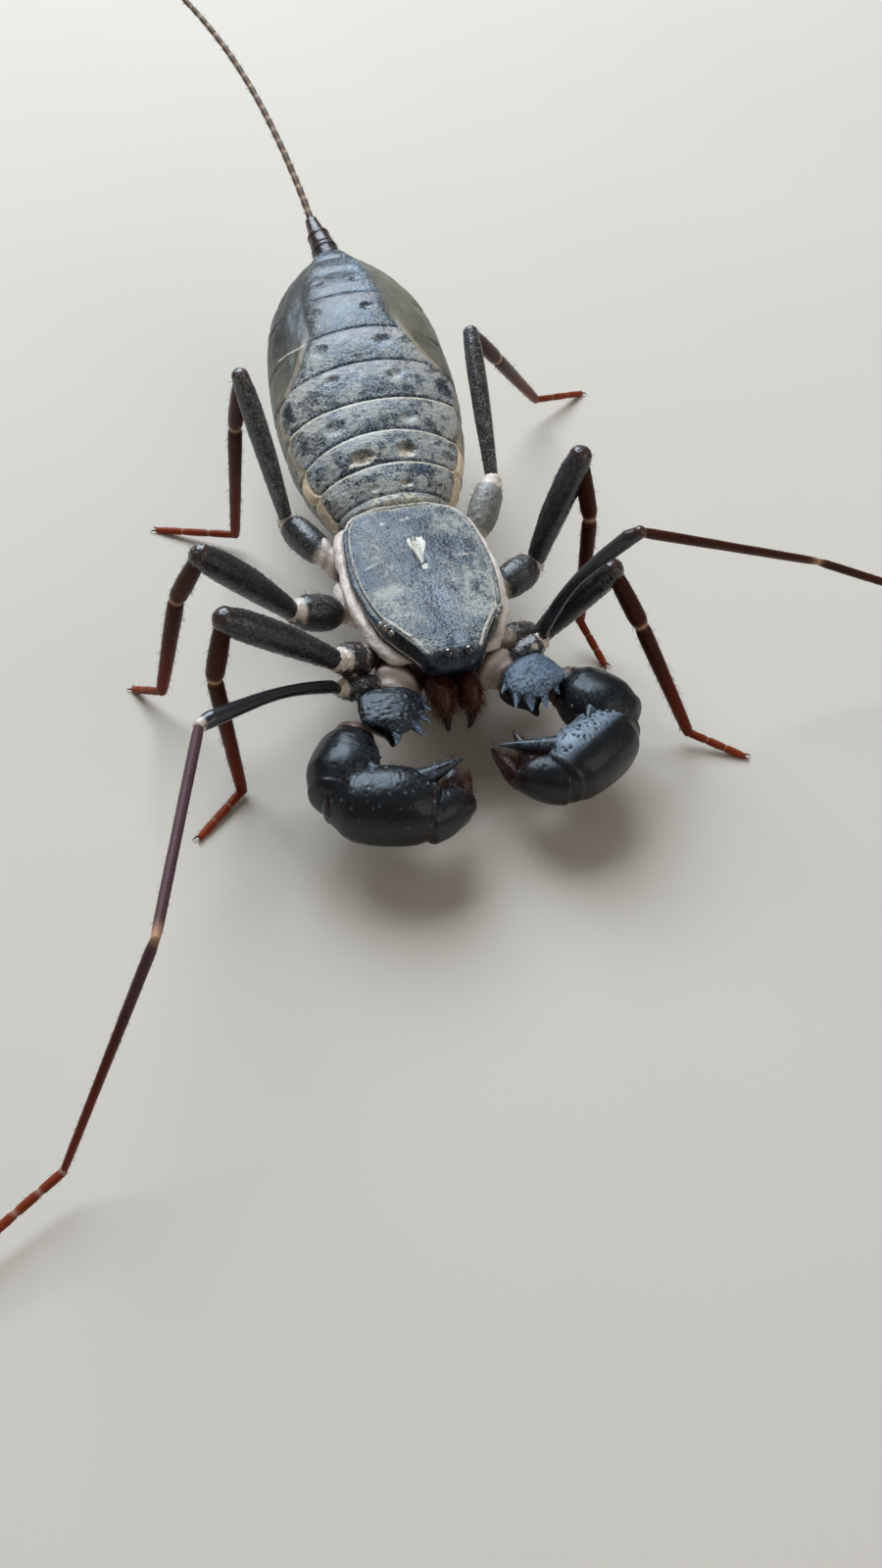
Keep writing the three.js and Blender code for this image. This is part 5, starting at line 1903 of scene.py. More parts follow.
    def _texture(self, segment: Segment, skin: Skin, top: Array, seed: int, s: Array, inner: Array) -> None:
        """Pits, dots, polish, colour and painted highlights of a segment.

        Args:
            segment: which one.
            skin: its skin, which is changed.
            top: how far each place faces upwards.
            seed: which patterns it gets.
            s: distance of each place along the segment.
            inner: how far each place lies inwards of the segment's line.
        """
        length = self.LENGTHS[segment]
        pits, own = Pattern.cells(skin.points, 0.62, seed + 1)
        deep = ease(pits, 0.3, 0.12) * (own < 0.75)
        crown = top * ease(inner, -1.2, 0.6)
        if segment is Segment.PATELLA and not self.dotted:
            long_pits, _ = Pattern.cells(skin.points * np.array([1.0, 1.0, 0.8]), 0.45, seed + 3)
            zone = ease(inner, -0.5, 0.3) * ease(skin.normals()[..., 2], 0.3, 0.6)
            zone = zone * ease(s, length + 0.4, length - 0.4)
            net = ease(long_pits, 0.4, 0.28) * zone
            skin.swell(-0.06 * net)
            skin.paint(Layer.DARK_AND_SHADE, net)
            # Pale blue between the pits, partly a painted highlight.
            skin.paint(Layer.PALE, 0.5 * zone * (1 - net))
        elif segment is Segment.PATELLA:
            dots = ease(pits, 0.24, 0.12) * (own < 0.75) * ease(top, 0.1, 0.4)
            skin.swell(-0.035 * Pattern.granules(skin.points, 0.3, seed + 4, 0.45) * ease(top, 0.4, 0.9))
            skin.swell(0.03 * dots)
            # Pale dots, partly painted reflections on the grains, more on the crown.
            skin.paint(Layer.PALE, dots * (0.16 + 0.22 * crown))
        else:
            skin.swell(-0.03 * deep)
            skin.paint(Layer.DARK_AND_SHADE, deep * 0.4)
        skin.swell(0.02 * skin.clouds(0.5, seed + 6, 2))
        # Painted sheen on the upper inner crown.
        skin.paint(Layer.DUST_AND_SHEEN, 0.1 * crown)
        skin.paint(Layer.SHINE, 0.35 + 0.2 * (1 - top))
        edges = hump(skin.share, -0.01, 0.015) + hump(skin.share, 1.01, 0.015)
        skin.paint(Layer.WARM, edges * 0.5)
        if segment is Segment.TIBIA:
            skin.paint(Layer.WARM, ease(inner, 0.3, 1.6) * 0.5 + 0.2 * ease(s, length * 0.5, length))
        if segment is Segment.TARSUS:
            skin.paint(Layer.WARM, 0.4 + 0.4 * skin.clouds(0.8, seed))

    def _bristles(self, segment: Segment, model: Model, coat: Coat) -> None:
        """Hair of a segment: thick inside the claw, sparse elsewhere.

        Args:
            segment: which one.
            model: its skins.
            coat: bristles that are added to.
        """
        start, ahead, inward = self.axes(segment)
        barrel = model.skins[0]
        inside = (lambda s: ease((s.points - start) @ inward, 0.0, 1.2))
        if segment in (Segment.TIBIA, Segment.TARSUS):
            coat.grow(barrel, 420, (0.5, 1.5), 0.018, 0.6, inside)
            coat.grow(model.skins[1], 140, (0.4, 1.1), 0.016, 0.7)
        elif segment is Segment.PATELLA:
            coat.grow(barrel, 110, (0.3, 0.7), 0.016, 0.5, inside)
            coat.grow(model.skins[1], 40, (0.15, 0.35), 0.012, 0.6)
        elif segment is Segment.FEMUR:
            coat.grow(barrel, 80, (0.3, 0.8), 0.016, 0.5, inside)

    def _joint_skin(self, segment: Segment, soft: Model) -> None:
        """Soft skin before a segment.

        Args:
            segment: the one it leads to.
            soft: joint skins that are added to.
        """
        start, ahead, _ = self.axes(segment)
        shape = self.SHAPES[segment][0]
        deep = 1.5 if segment is Segment.FEMUR else 0.65
        radii = np.array([deep, shape[1], shape[2] * 0.98])
        skin = ball(start + ahead * 0.05, radii, ahead, 24, 44)
        skin.swell(0.06 * np.sin(skin.share * 60) + 0.06 * skin.clouds(0.6, 71))
        if segment is not Segment.TROCHANTER:
            skin.paint(Layer.WARM, 0.9).paint(Layer.DARK_AND_SHADE, 0.75)
        else:
            skin.paint(Layer.PALE, 0.9)
        soft.add(skin)


ARMS: tuple[ClawArm, ...] = (
    ClawArm(Side.RIGHT, {
        Segment.TROCHANTER: Stand((4.8, 16.4, 6.6), 7), Segment.FEMUR: Stand((8, 19, 6), 27),
        Segment.PATELLA: Stand((10.4, 23.6, 5.7), -70), Segment.TIBIA: Stand((4.2, 26.3, 5.4), -102),
        Segment.TARSUS: Stand((1.5, 25.7, 4.9), -158),
    }, True, Crest(
        (
            (0.1, -1.3, 1.3), (0.35, -1.9, 1.8), (0.7, -2.25, 2.15), (1.3, -2.35, 2.35), (2.2, -2.3, 2.3),
            (3.0, -2.1, 1.9), (3.4, -1.1, 1.6), (3.9, -0.1, 1.2), (4.1, 0.3, 0.9),
        ), (
            Tooth((3.6, 0.3, 1.45), (5.0, 0.05, 1.3), 0.55), Tooth((3.3, 1.4, 1.5), (4.55, 2.1, 1.45), 0.46),
            Tooth((2.5, 1.95, 1.6), (3.45, 2.6, 1.55), 0.38), Tooth((1.6, 2.15, 1.6), (2.3, 2.85, 1.6), 0.32),
            Tooth((0.9, 2.1, 1.6), (1.25, 2.6, 1.6), 0.24),
        ), 0.12,
    ), (
        Tooth((5.0, 0.9, 1.3), (8.84, 3.4, 2.15), 1.0), Tooth((6.6, 2.2, 1.8), (6.8, 2.9, 2.1), 0.22),
        Tooth((7.5, 2.7, 1.95), (7.7, 3.2, 2.2), 0.16),
    )),
    ClawArm(Side.LEFT, {
        Segment.TROCHANTER: Stand((5.7, 15.8, 6.6), 3), Segment.FEMUR: Stand((9, 17.2, 6), 38),
        Segment.PATELLA: Stand((12, 21.4, 5.6), -58), Segment.TIBIA: Stand((6.2, 25.1, 5.4), -103),
        Segment.TARSUS: Stand((3.2, 24.2, 4.9), -161),
    }, False, Crest(
        (
            (-0.5, -1.2, -0.7), (-0.1, -1.7, 0.5), (0.5, -2.05, 1.5), (1.1, -2.35, 2.0), (1.9, -2.55, 2.15),
            (2.5, -2.1, 1.85), (3.0, -1.2, 1.45), (3.4, -0.7, 0.7), (3.6, -0.5, 0.0),
        ), (
            Tooth((3.1, 0.7, 1.5), (4.6, 1.0, 1.35), 0.6), Tooth((2.7, 1.5, 1.55), (4.1, 2.1, 1.5), 0.42),
            Tooth((3.4, -0.3, 1.5), (4.6, -0.15, 1.35), 0.38), Tooth((1.8, 2.0, 1.6), (2.6, 2.7, 1.6), 0.34),
            Tooth((2.8, -1.4, 1.5), (3.6, -1.5, 1.4), 0.3),
        ), 0.55,
    ), (
        Tooth((5.6, 1.2, 1.3), (9.1, 4.6, 1.6), 0.85), Tooth((6.9, 2.5, 1.6), (7.0, 3.1, 1.9), 0.2),
        Tooth((7.8, 3.4, 1.65), (7.9, 3.8, 1.85), 0.15),
    )),
)


# ---------------------------------------------------------------- abdomen and whip


@dataclass(frozen=True)
class Pit:
    """Dimple in a back plate: place along and across, half length, half width, depth and how earthy it is."""

    along: float
    across: float
    long: float
    wide: float
    deep: float
    earthy: float = 0.0


@dataclass(frozen=True)
class Dents:
    """The pits of the back: their depth and how far each place is earthy, on a crusted lip or shaded."""

    deep: Array
    earth: Array
    lips: Array
    shade: Array


@dataclass(frozen=True)
class Rings:
    """Where each point of the abdomen's bare skin lies among the plates. Shares go from 0 to 1."""

    x: Array               # across
    s: Array               # along
    back: Array            # whether it lies on the back
    share: Array           # share of its ring's length
    to_rear: Array         # distance to its ring's hind edge
    from_front: Array      # distance to its ring's front edge
    out: Array             # distance outwards from the side ends of the back plates
    blur: Array            # how faint the plates' side ends are
    inside: Array          # on the back plates
    belly_in: Array        # on the belly plates
    folds: Array           # on the soft skin between them
    rear: Array            # near the hind end
    side_on: Array         # near the side ends of the back plates
    creamy: Array          # on the thick pale fold beside the front plates
    rim: Array             # on the thin fold beside the others
    crease: Array          # between two rings of the flanks
    ripples: Array         # height of the flanks' wrinkles
    noise: Array           # broad unevenness
    fold_noise: Array      # unevenness of the folds


@dataclass
class Abdomen:
    """The ringed abdomen: back plates, belly plates and the soft skin between them."""

    length: float = 31.8
    start: Point = (0.0, 0.0, 7.5)
    yaw: float = 1.7
    pitch: float = 11.8
    roll: float = 7.0
    seam: float = -0.6
    half_width: Table = (
        (0, 3.3), (0.04, 4.4), (0.09, 5.5), (0.17, 6.6), (0.27, 7.45), (0.42, 7.95), (0.5, 8),
        (0.61, 7.75), (0.73, 7.2), (0.84, 5.85), (0.93, 4), (0.98, 2.3), (1, 1.35),
    )
    back: Table = (
        (0, 2.7), (0.1, 3.2), (0.27, 3.9), (0.5, 4.3), (0.7, 4), (0.85, 2.9), (0.95, 1.8), (1, 1.1),
    )
    belly: Table = (
        (0, 2.1), (0.1, 3), (0.27, 4), (0.5, 4.6), (0.7, 4.2), (0.85, 3.2), (0.95, 2), (1, 1.2),
    )
    plate_edges: tuple[float, ...] = (-0.5, 2.0, 4.8, 7.85, 10.9, 14.85, 18.7, 23.2, 26.7, 29.6, 32.2)
    edge_bow: Table = (
        (0, 0.3), (4.8, 0.7), (7.85, 1.0), (10.9, 0.25), (14.85, 0.5), (18.7, 0.5), (23, 0.35), (32, 0.3),
    )
    plate_width: Table = (
        (0, 4.1), (2.4, 4.75), (3.7, 5.3), (6, 6.1), (10, 6.95), (12.7, 7.15), (14.1, 6.6), (16, 5.1),
        (18.2, 4.05), (20, 3.5), (23.5, 3.3), (28, 2.6), (32, 1.3),
    )
    pits: tuple[Pit, ...] = (
        Pit(2.85, 1.35, 0.3, 0.5, 0.22, 0.9), Pit(2.8, -1.1, 0.3, 0.4, 0.16, 0.3),
        Pit(5.75, -1.7, 0.55, 1.0, 0.5, 1.0), Pit(5.85, 1.98, 0.6, 0.75, 0.46, 1.0),
        Pit(8.9, 2.8, 0.5, 0.7, 0.14), Pit(9.0, -3.2, 0.6, 0.9, 0.12), Pit(13.2, 2.55, 0.45, 0.6, 0.2),
        Pit(13.6, -2.55, 0.45, 0.6, 0.18), Pit(17.0, 2.3, 0.55, 0.75, 0.24), Pit(17.05, -3.0, 0.55, 0.7, 0.2),
        Pit(21.2, 1.8, 0.5, 0.62, 0.22), Pit(21.5, -2.7, 0.5, 0.6, 0.16), Pit(25.2, 1.4, 0.4, 0.5, 0.12),
        Pit(25.5, -2.0, 0.4, 0.5, 0.1),
    )
    marks: Table = (                   # along, across, half length, half width, and pale or dark below 0; some pale ones are painted highlights
        (12.6, -6.5, 1.2, 0.6, -1), (8.9, -5.9, 0.9, 0.6, -0.8), (12.1, 6.2, 0.9, 0.8, -0.8),
        (5.8, -5.0, 0.8, 0.7, -0.7), (3.9, 2.9, 0.6, 1.5, -0.8), (3.7, -1.4, 0.5, 1.1, -0.8),
        (6.9, 0.9, 0.5, 0.5, -0.8), (16.2, -4.6, 0.6, 0.5, -0.7), (8.5, 2.9, 0.5, 0.9, 0.9),
        (14.0, -3.1, 0.6, 0.9, 0.4), (8.9, -3.5, 0.7, 0.8, 0.45), (12.6, 2.4, 0.5, 0.7, 0.6),
        (7.4, 5.5, 0.3, 0.4, 0.9), (10.6, -5.2, 0.25, 0.6, 0.9), (4.9, 5.2, 0.4, 0.4, 0.7),
        (16.2, -3.6, 0.6, 0.8, 0.6), (7.0, -1.3, 0.5, 1.2, 0.4), (17.6, 3.6, 0.5, 0.5, 0.5),
    )
    rows: int = 420
    columns: int = 236
    top_share: float = 0.66            # share of the columns that lie on the back

    def turned(self, points: Array) -> Array:
        """Puts points of the abdomen's own frame into the animal's.

        Args:
            points: places in the abdomen's own frame.

        Returns:
            The places in the animal's frame.
        """
        turn = Matrix.Rotation(math.radians(-self.yaw), 3, "Z")
        turn = turn @ Matrix.Rotation(math.radians(self.pitch), 3, "X")
        turn = turn @ Matrix.Rotation(math.radians(-self.roll), 3, "Y")
        return points @ np.array(turn).T + np.array(self.start)

    def build(self, coat: Coat) -> None:
        """Makes the abdomen.

        Args:
            coat: bristles that are added to.
        """
        skin, over = self._bag()
        rings = self._rings(skin, over)
        dents = self._dents(rings, skin.clouds(0.4, 96))
        self._raise_plates(skin, rings, dents)
        self._paint_lines(skin, rings)
        self._paint_plates(skin, rings, dents)
        skin.points = self.turned(skin.points)
        Model(skin).build("abdomen_skin", "back_plates", PLATE, ["abdomen_back", "abdomen_belly"])
        coat.grow(skin, 240, (0.25, 0.55), 0.013, 0.9, lambda _: ease(-over, -0.2, 0.6))

    def _bag(self) -> tuple[Skin, Array]:
        """The bare bag.

        Returns:
            Its skin in the abdomen's own frame and, for each point, the sine of the turn round the section.
        """
        t = shares_of(self.rows, 0.3)
        many = self._many()
        upper = math.pi * (np.arange(many) + 0.5) / many
        lower = math.pi + math.pi * (np.arange(self.columns - many) + 0.5) / (self.columns - many)
        angle = np.concatenate([upper, lower])
        cos, sin = np.cos(angle), np.sin(angle)
        wide = along(self.half_width, t)
        over = along(self.back, t) - self.seam
        under = along(self.belly, t) + self.seam
        ends = np.sqrt(np.clip(1 - ((0.012 - t) / 0.012) ** 2 * (t < 0.012), 0.02, 1))
        ends = ends * np.sqrt(np.clip(1 - ((t - 0.985) / 0.015) ** 2 * (t > 0.985), 0.2, 1))
        rise = np.abs(sin) ** 0.85
        z = self.seam + np.where(sin >= 0, over[:, None] * rise, -under[:, None] * rise) * ends[:, None]
        x = wide[:, None] * cos[None] * ends[:, None]
        s = np.broadcast_to((t * self.length)[:, None], x.shape)
        return Skin(np.stack([x, s, z], -1), shares=t), np.broadcast_to(sin[None], x.shape)

    def _many(self) -> int:
        """How many columns lie on the back."""
        return int(self.columns * self.top_share)

    def _beyond(self, skin: Skin, reach: Array) -> Array:
        """Distance along the skin outwards from the side ends of the back plates.

        Args:
            skin: the bare bag.
            reach: half width of the plates at each row.

        Returns:
            The distance, which is negative on the plates and large on the belly.
        """
        many = self._many()
        top = skin.points[:, :many]
        run = np.cumsum(np.linalg.norm(np.diff(top, axis=1, prepend=top[:, :1]), axis=-1), axis=1)
        out = np.full(skin.points.shape[:2], 9.0)
        for i in range(self.rows):
            x = top[i, :, 0]
            wide = min(reach[i], 0.97 * x[0])
            left, right = np.interp([-wide, wide], -x, run[i])
            out[i, :many] = np.maximum(run[i] - right, left - run[i])
        return out

    def _rings(self, skin: Skin, over: Array) -> Rings:
        """Finds the place of each point among the plates.

        Args:
            skin: the bare bag.
            over: sine of the turn round the section.

        Returns:
            The places.
        """
        x, s, _ = np.moveaxis(skin.points, -1, 0)
        noise = skin.clouds(1.5, 90)
        edges = np.array(self.plate_edges)
        along_it = s + along(self.edge_bow, s) * (x / 6.0) ** 2 + 0.07 * noise
        index = np.clip(np.searchsorted(edges, along_it, side="right") - 1, 0, len(edges) - 2)
        low, high = edges[index], edges[index + 1]
        share = np.clip((along_it - low) / (high - low), 0, 1)
        reach = along(self.plate_width, s[:, 0])
        lobes = 0.55 * np.abs(2 * share - 1) ** 6 * ease(s, 18, 14)
        out = self._beyond(skin, reach) + 0.08 * noise + lobes * (over > 0)
        blur = np.where(x < 0, ease(s, 13.5, 16.5), ease(s, 18.5, 20.5))
        inside = ease(out, 0.1 + 0.35 * blur, -0.1 - 0.75 * blur)
        half = along(self.half_width, s / self.length)
        belly_in = ease(half * 0.7 - np.abs(x), -0.1, 0.4) * ease(-over, 0.2, 0.5)
        to_rear, from_front = high - along_it, along_it - low
        folds = (1 - inside) * (1 - belly_in)
        flank = folds * ease(over, 0.72, 0.4)
        return Rings(
            x, s, over > 0, share, to_rear, from_front, out, blur, inside, belly_in, folds,
            rear=ease(s, 13, 22),
            side_on=ease(np.abs(x) / np.maximum(reach[:, None], 0.1), 0.3, 0.95),
            creamy=ease(out, 0.0, 0.18) * ease(out, 1.5, 1.05) * ease(s, 8.0, 5.0) * (over > 0),
            rim=ease(out, 0.05, 0.2) * ease(out, 0.85, 0.6) * ease(s, 3, 6) * ease(s, 22, 17) * (over > 0),
            crease=hump(np.minimum(to_rear, from_front), 0.0, 0.22) * flank,
            ripples=skin.clouds(0.8, 95, stretch=(2.2, 0.35, 2.2)) * flank,
            noise=noise,
            fold_noise=skin.clouds(0.9, 92, stretch=(1.0, 0.4, 1.8)),
        )

    def _dents(self, r: Rings, crumbs: Array) -> Dents:
        """Works out the pits of the back plates.

        Args:
            r: places among the plates.
            crumbs: unevenness of the pits' crusted lips.

        Returns:
            The pits.
        """
        layers = [np.zeros_like(r.s) for _ in range(4)]
        for pit in self.pits:
            sideways, lengthwise = (r.x - pit.across) / pit.wide, (r.s - pit.along) / pit.long
            gap = np.hypot(sideways, lengthwise)
            ahead = (r.s - pit.along + 0.55 * pit.long) / (0.75 * pit.long)
            lip = ease(np.hypot(sideways * 1.05, ahead) + 0.75 * crumbs, 1.25, 0.6)
            shade = ease(gap + 0.25 * r.noise, 1.35, 0.75) * ease(lengthwise, -0.25, 0.5)
            more = (
                ease(gap, 1.4, 0.1) * pit.deep - 0.06 * hump(gap, 1.5, 0.35),
                ease(gap, 1.15, 0.5) * pit.earthy,
                lip * (0.15 + 0.75 * pit.earthy),
                shade * (0.5 + 0.5 * pit.earthy),
            )
            layers = [np.maximum(a, b) for a, b in zip(layers, more)]
        return Dents(*(layer * r.back for layer in layers))

    def _raise_plates(self, skin: Skin, r: Rings, dents: Dents) -> None:
        """Raises the plates and the folds, and sinks the pits.

        Args:
            skin: the bare bag, which is changed.
            r: places among the plates.
            dents: the pits.
        """
        step = 0.2 * r.share**1.5 * ease(r.to_rear, 0.0, 0.1) * (1 - 0.5 * r.rear)
        step = step - 0.06 * hump(r.from_front, 0.1, 0.14)
        broad = 0.14 * np.sin(math.pi * r.share)
        height = (step + broad + 0.14) * r.inside + (step * 0.8 + broad) * r.belly_in
        height = height - dents.deep - 0.03 * hump(r.x, 0.1, 0.14) * r.inside * ease(r.s, 16, 12)
        height = height + 0.07 * r.fold_noise * r.folds + 0.3 * r.creamy + 0.1 * r.rim
        height = height - 0.7 * ease(r.s, 1.5, 0.5) * r.back
        height = height - 0.12 * r.crease + 0.07 * r.ripples
        coarse = Pattern.granules(skin.points, 0.34, 93, 0.62) * r.inside
        finer = Pattern.granules(skin.points, 0.2, 94, 0.8) * r.inside
        coarse_height = (0.025 + 0.05 * r.side_on) * (1 - 0.7 * r.rear)
        skin.swell(height + coarse * coarse_height + finer * 0.018 + 0.04 * r.noise * r.inside)

    @staticmethod
    def _paint_lines(skin: Skin, r: Rings) -> None:
        """Paints the cream seams round the plates and the line across the right fold.

        Args:
            skin: the raised bag, which is changed.
            r: places among the plates.
        """
        s, out = r.s, r.out
        line = (1 - 0.8 * np.abs(r.to_rear - 0.12)) * r.inside
        line = line * ease(s, 2.3, 2.6) * (1 - 0.2 * ease(s, 11.5, 14.5))
        border = (1 - 0.8 * np.abs(out - 0.05)) * r.back * ease(s, 0.5, 3.0)
        border = border * (1 - 0.06 * ease(s, 12.5, 15)) * (1 - 0.3 * r.blur)
        fold_line = (1 - 0.7 * np.abs(s - 18.55 + 0.1 * (r.x + 4.5))) * (r.x < -4.2) * r.back
        fold_line = fold_line * (out < 3.4) * 0.95
        skin.paint(Layer.SEAM, np.maximum(np.maximum(line, border), fold_line))
        # The thin fold's pale line is partly a painted highlight on its edge.
        skin.paint(Layer.PALE, r.creamy * (1.0 + 0.3 * r.fold_noise) + r.rim * 0.25)
        notch = ease(out, -0.1, 0.15) * ease(out, 0.7, 0.4) * np.abs(2 * r.share - 1) ** 8
        skin.paint(Layer.PALE, notch * ease(s, 16, 13) * r.back * 0.8)

    def _paint_plates(self, skin: Skin, r: Rings, dents: Dents) -> None:
        """Paints dust, dark patches, earth, polish, painted shade and painted sheen.

        Args:
            skin: the raised bag, which is changed.
            r: places among the plates.
            dents: the pits.
        """
        x, s, inside, rear, side_on = r.x, r.s, r.inside, r.rear, r.side_on
        mottle = skin.clouds(0.55, 97)
        pale, dark = np.zeros_like(s), np.zeros_like(s)
        for place, across, long, wide, amount in self.marks:
            gap = np.hypot((x - across) / wide, (s - place) / long)
            spot = abs(amount) * ease(gap + 0.3 * mottle, 1.3, 0.3)
            pale, dark = (np.maximum(pale, spot), dark) if amount > 0 else (pale, np.maximum(dark, spot))
        near = ease(s, 2.9, 1.6) * ease(np.abs(x - 0.3), 3.8, 1.8)
        blotch = near * (skin.clouds(0.24, 98, 2) + 0.35 * mottle > 0.05)
        # More dust over the middle of the front plates, partly painted sheen.
        middle = ease(s, 13, 9) * ease(np.abs(x), 3.5, 1.5)
        spots = ease(skin.clouds(0.9, 89) + 0.35 * mottle, 0.0, 0.2)
        heaps = 1 + 0.6 * skin.clouds(1.1, 88)
        heaps = heaps * (1 - 0.55 * spots) * (1 - 0.7 * hump(r.from_front, 0.2, 0.22))
        dust_and_sheen = 0.43 + 0.42 * side_on + 0.1 * ease(s, 7, 4) + 0.16 * middle
        dust_and_sheen = dust_and_sheen * (1 - 0.7 * rear) * (1 - dark) * heaps
        skin.paint(Layer.DUST_AND_SHEEN, (np.clip(dust_and_sheen, 0, 0.8) + 0.6 * np.maximum(pale, blotch)) * inside)
        skin.paint(Layer.DUST_AND_SHEEN, 0.2 * r.folds * ease(s, 16, 12))
        skin.paint(Layer.SEAM, np.maximum(blotch, 0.93 * pale * ease(mottle, 0.1, 0.4)) * inside)
        skin.paint(Layer.SEAM, (0.86 + 0.11 * dents.lips) * (dents.lips > 0.3) * (mottle > -0.35))
        broad_dark = ease(skin.clouds(1.9, 99), 0.0, 0.5) * rear * ease(np.abs(x), 0.5, 1.6)
        streaks = np.maximum(spots * (0.35 + 0.45 * side_on) * (1 - rear), broad_dark * 0.5)
        shady = rear * np.maximum(0.8 * ease(x, 0.0, -1.8), 0.45 * ease(x, 1.8, 0.4)) * r.back
        # Painted shade in the creases and wrinkles of the flanks.
        crease_shade = np.maximum(0.3 * r.crease, ease(-r.ripples, 0.1, 0.5) * 0.3)
        # Painted shade just behind each plate's front edge, under the plate before it.
        edges = hump(r.from_front, 0.16, 0.12) * inside * 0.6 * (1 - 0.6 * rear)
        # Dark marks, earth, and painted shade in streaks, creases, pits and the dark left rear.
        dark_and_shade_masks = (
            streaks * inside, shady, dark * inside * (0.75 + 0.4 * mottle), crease_shade, r.belly_in * 0.55, edges,
            dents.earth * 0.5, dents.shade * 0.9,
        )
        for dark_and_shade in dark_and_shade_masks:
            skin.paint(Layer.DARK_AND_SHADE, dark_and_shade)
        skin.paint(Layer.OCHRE, dents.earth * (1 - dents.lips) * (1 - 0.85 * dents.shade))
        skin.paint(Layer.SHINE, (0.2 + 0.5 * ease(side_on, 0.7, 0.1)) * inside * (1 + 0.5 * mottle))
        band = hump(r.to_rear, 0.4, 0.65) * ease(mottle, -0.9, 0.0)
        band = band * (0.5 + 0.4 * ease(s, 11, 14)) * ease(s, 24, 22) * ease(s, 6, 9)
        skin.paint(Layer.WARM, np.maximum(band * inside, r.belly_in * 0.9))
        skin.paint(Layer.SOFT, r.folds * np.maximum(ease(r.out, 0.1, 0.3), r.blur))


@dataclass
class TailEnd:
    """The three narrow rings behind the abdomen, and the whip."""

    abdomen: Abdomen
    ring_length: float = 5.4
    ring_aim: float = -9.0
    ring_lift: float = 17.0
    ring_shape: Table = ((0, 1.1, 1.1), (0.12, 1.25, 1.25), (0.6, 1, 1), (1, 0.68, 0.68))
    ring_steps: tuple[float, ...] = (0.36, 0.68)
    whip_length: float = 50.0
    whip_steps: int = 660
    whip_rings: int = 38
    split: float = 0.45              # share of the whip that is its base
    aim: Table = ((0, -7), (0.3, -17), (0.7, -39), (1, -54))
    lift: Table = ((0, 24), (0.3, 22), (0.7, 14), (1, 5))
    half: Table = ((0, 0.31), (0.3, 0.27), (1, 0.2))

    @staticmethod
    def backwards(aim: Array | float, lift: Array | float) -> Array:
        """Unit vector at an aim from straight back and a lift above level, in degrees."""
        turn, rise = np.radians(aim), np.radians(lift)
        return np.stack([np.sin(turn) * np.cos(rise), np.cos(turn) * np.cos(rise), np.sin(rise)], -1)

    def build(self, coat: Coat) -> None:
        """Makes the narrow rings and the two lengths of whip.

        Args:
            coat: bristles that are added to.
        """
        start = self.abdomen.turned(np.array([[0.0, self.abdomen.length - 0.4, 0.0]]))[0]
        ahead = self.backwards(self.ring_aim, self.ring_lift)
        skin = Limb(start, start + ahead * self.ring_length, self.ring_shape, 200, 70, cap=0.3).skin()
        share = skin.share
        cut = sum(-0.1 * hump(share, k, 0.02) + 0.08 * hump(share, k - 0.05, 0.05) for k in self.ring_steps)
        skin.swell(cut - 0.12 * ease(share, 0.68, 0.72)).grainy(0.26, 0.03, 97, 0.5)
        skin.paint(Layer.WARM, 0.25 + 0.5 * ease(share, 0.2, 1.0)).paint(Layer.SHINE, 0.35)
        skin.paint(Layer.PALE, sum(hump(share, k + 0.01, 0.012) for k in self.ring_steps) * 0.2)
        Model(skin).build("tail_rings", "femur", THIGH, ["pygidium"])
        coat.grow(skin, 70, (0.3, 0.7), 0.014, 0.8)
        self._whip(start + ahead * (self.ring_length - 0.2), coat)

    def _whip(self, start: Array, coat: Coat) -> None:
        """The whip in two lengths, of many short rings.

        Args:
            start: where it starts.
            coat: bristles that are added to.
        """
        steps = self.whip_steps
        t = (np.arange(steps) + 0.5) / steps
        way = self.backwards(along(self.aim, t), along(self.lift, t))
        path = np.vstack([start, start + np.cumsum(way * self.whip_length / steps, axis=0)])
        share = np.linspace(0, 1, steps + 1)
        for word, low, high in (("base", 0.0, self.split), ("tip", self.split, 1.0)):
            part = (share >= low) & (share <= high)
            centres, at = path[part], share[part]
            ahead = unit(np.gradient(centres, axis=0))
            across, upward = axes_along(ahead)
            beat = (at * self.whip_rings) % 1
            girth = along(self.half, at) * (0.9 + 0.16 * np.sin(math.pi * beat) ** 0.8)
            girth[:2] *= 0.6
            girth[-3:] *= np.array([0.8, 0.5, 0.15]) if high == 1.0 else np.ones(3)
            skin = Skin(sweep(centres, across, upward, girth, girth, 26), shares=at)
            skin.paint(Layer.PALE, (hump(beat, 0.0, 0.16) + hump(beat, 1.0, 0.16))[:, None] * 0.8)
            skin.paint(Layer.WARM, 0.3 + 0.3 * at[:, None])
            Model(skin).build(f"whip_{word}", "whip", WHIP, [f"flagellum_{word}"])
            coat.grow(skin, 420, (0.25, 0.6), 0.011, 0.7, lambda _, b=beat: hump(b, 0.75, 0.18)[:, None])


# ---------------------------------------------------------------- studio


@dataclass(frozen=True)
class Lamp:
    """Square soft light: where it stands and looks, in metres, its width, power and colour."""

    name: str
    place: Point
    target: Point
    width: float
    power: float
    colour: Colour


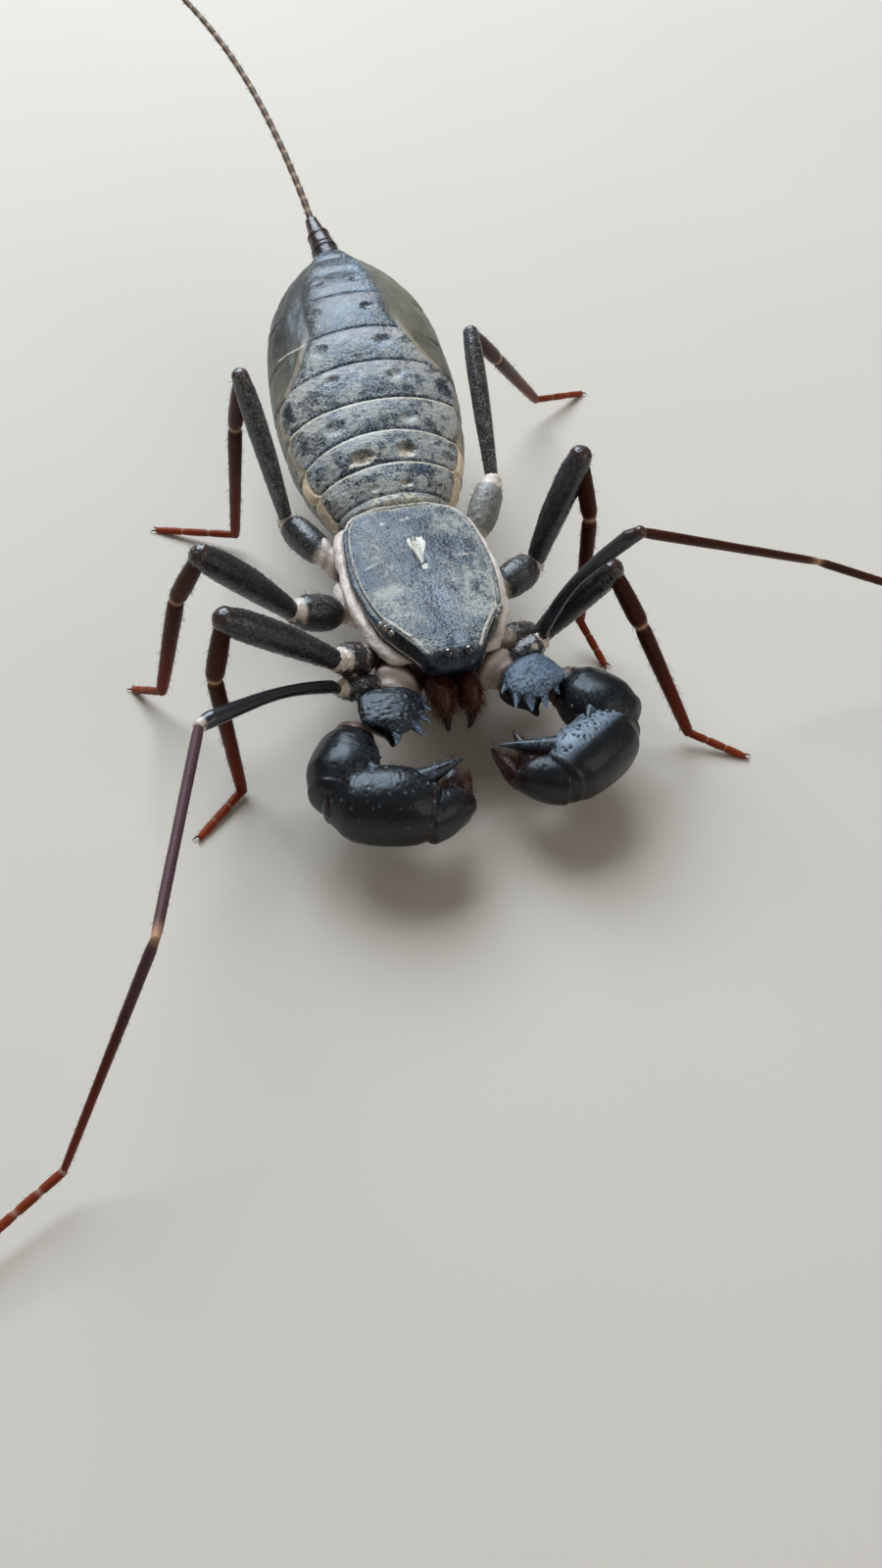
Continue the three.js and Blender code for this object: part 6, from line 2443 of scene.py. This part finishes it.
@dataclass
class Studio:
    """Camera, floor and lights."""

    eye: Point = (-19.52, -71.36, 71.75)                        # millimetres in the animal's frame
    right: Point = (0.96413613, -0.25854644, 0.05996047)
    down: Point = (-0.17102558, -0.77797376, -0.60457181)
    lens: float = 26.973
    sensor: float = 36.0
    sight: tuple[float, float] = (0.002, 20.0)                  # nearest and farthest that shows, in metres
    floor_width: float = 6.0                                    # metres
    air: Colour = (1.0, 0.95, 0.88)
    air_light: float = 0.22
    lamps: tuple[Lamp, ...] = (
        Lamp("sky", (-0.06, 0.34, 0.4), (0.0, 0.0, 0.0), 0.4, 4.4, (0.82, 0.91, 1.0)),
        Lamp("fill", (0.3, -0.34, 0.3), (0.0, 0.0, 0.0), 0.4, 0.55, (1.0, 0.93, 0.84)),
    )

    def build(self) -> None:
        """Sets up the camera, the floor, the lamps and the surrounding light."""
        self._camera()
        self._floor()
        for lamp in self.lamps:
            self._light(lamp)
        world = bpy.data.worlds.new("studio_air")
        world.use_nodes = True
        air = world.node_tree.nodes["Background"]
        air.inputs["Color"].default_value = (*self.air, 1.0)
        air.inputs["Strength"].default_value = self.air_light
        bpy.context.scene.world = world
        bpy.context.scene.view_settings.view_transform = "Standard"

    def _camera(self) -> None:
        """The camera at its solved place."""
        data = bpy.data.cameras.new("camera")
        data.sensor_width = self.sensor
        data.lens = self.lens
        data.clip_start, data.clip_end = self.sight
        camera = bpy.data.objects.new("camera", data)
        bpy.context.scene.collection.objects.link(camera)
        right, up = Vector(self.right), -Vector(self.down)
        back = right.cross(up)
        turn = Matrix((right, up, back)).transposed().to_4x4()
        place = Vector(PLACE.metres(np.array(self.eye))[0])
        camera.matrix_world = Matrix.Translation(place) @ turn
        bpy.context.scene.camera = camera

    def _floor(self) -> None:
        """A plain pale floor that reaches past every view."""
        bpy.ops.mesh.primitive_plane_add(size=self.floor_width, location=(0, 0, 0))
        floor = bpy.context.object
        floor.name = "studio_floor"
        g = Graph("pale_floor")
        mottle = g.clouds(g.place(), 60.0, 2.0)
        colour = g.mix(mottle, (0.56, 0.52, 0.46), (0.6, 0.56, 0.5))
        pale = g.glossy({"Base Color": colour, "Roughness": 0.85, "Specular IOR Level": 0.2})
        floor.data.materials.append(pale)

    @staticmethod
    def _light(lamp: Lamp) -> None:
        """Adds one lamp.

        Args:
            lamp: its place, size and power.
        """
        data = bpy.data.lights.new(lamp.name, "AREA")
        data.size = lamp.width
        data.energy = lamp.power
        data.color = lamp.colour
        light = bpy.data.objects.new(lamp.name, data)
        bpy.context.scene.collection.objects.link(light)
        aim = Vector(lamp.target) - Vector(lamp.place)
        light.rotation_mode = "QUATERNION"
        light.rotation_quaternion = aim.to_track_quat("-Z", "Y")
        light.location = lamp.place


# ---------------------------------------------------------------- assembly


def main() -> None:
    """Builds the whole animal and its studio."""
    logging.basicConfig(level=logging.INFO, format="%(message)s")
    Studio().build()
    coat = Coat("bristles", 900)
    soft = Model()
    shield = HeadShield()
    shield.build()
    Trunk(shield).build(coat)
    for arm in ARMS:
        arm.build(soft, coat)
    for stance in LEG_STANCES:
        Leg(LEG_BUILDS[stance.pair], stance).build(soft, coat)
    abdomen = Abdomen()
    abdomen.build(coat)
    TailEnd(abdomen).build(coat)
    soft.build("joint_skins", "membrane", SOFT)
    coat.build("femur", BRISTLE)


if __name__ == "__main__":
    main()
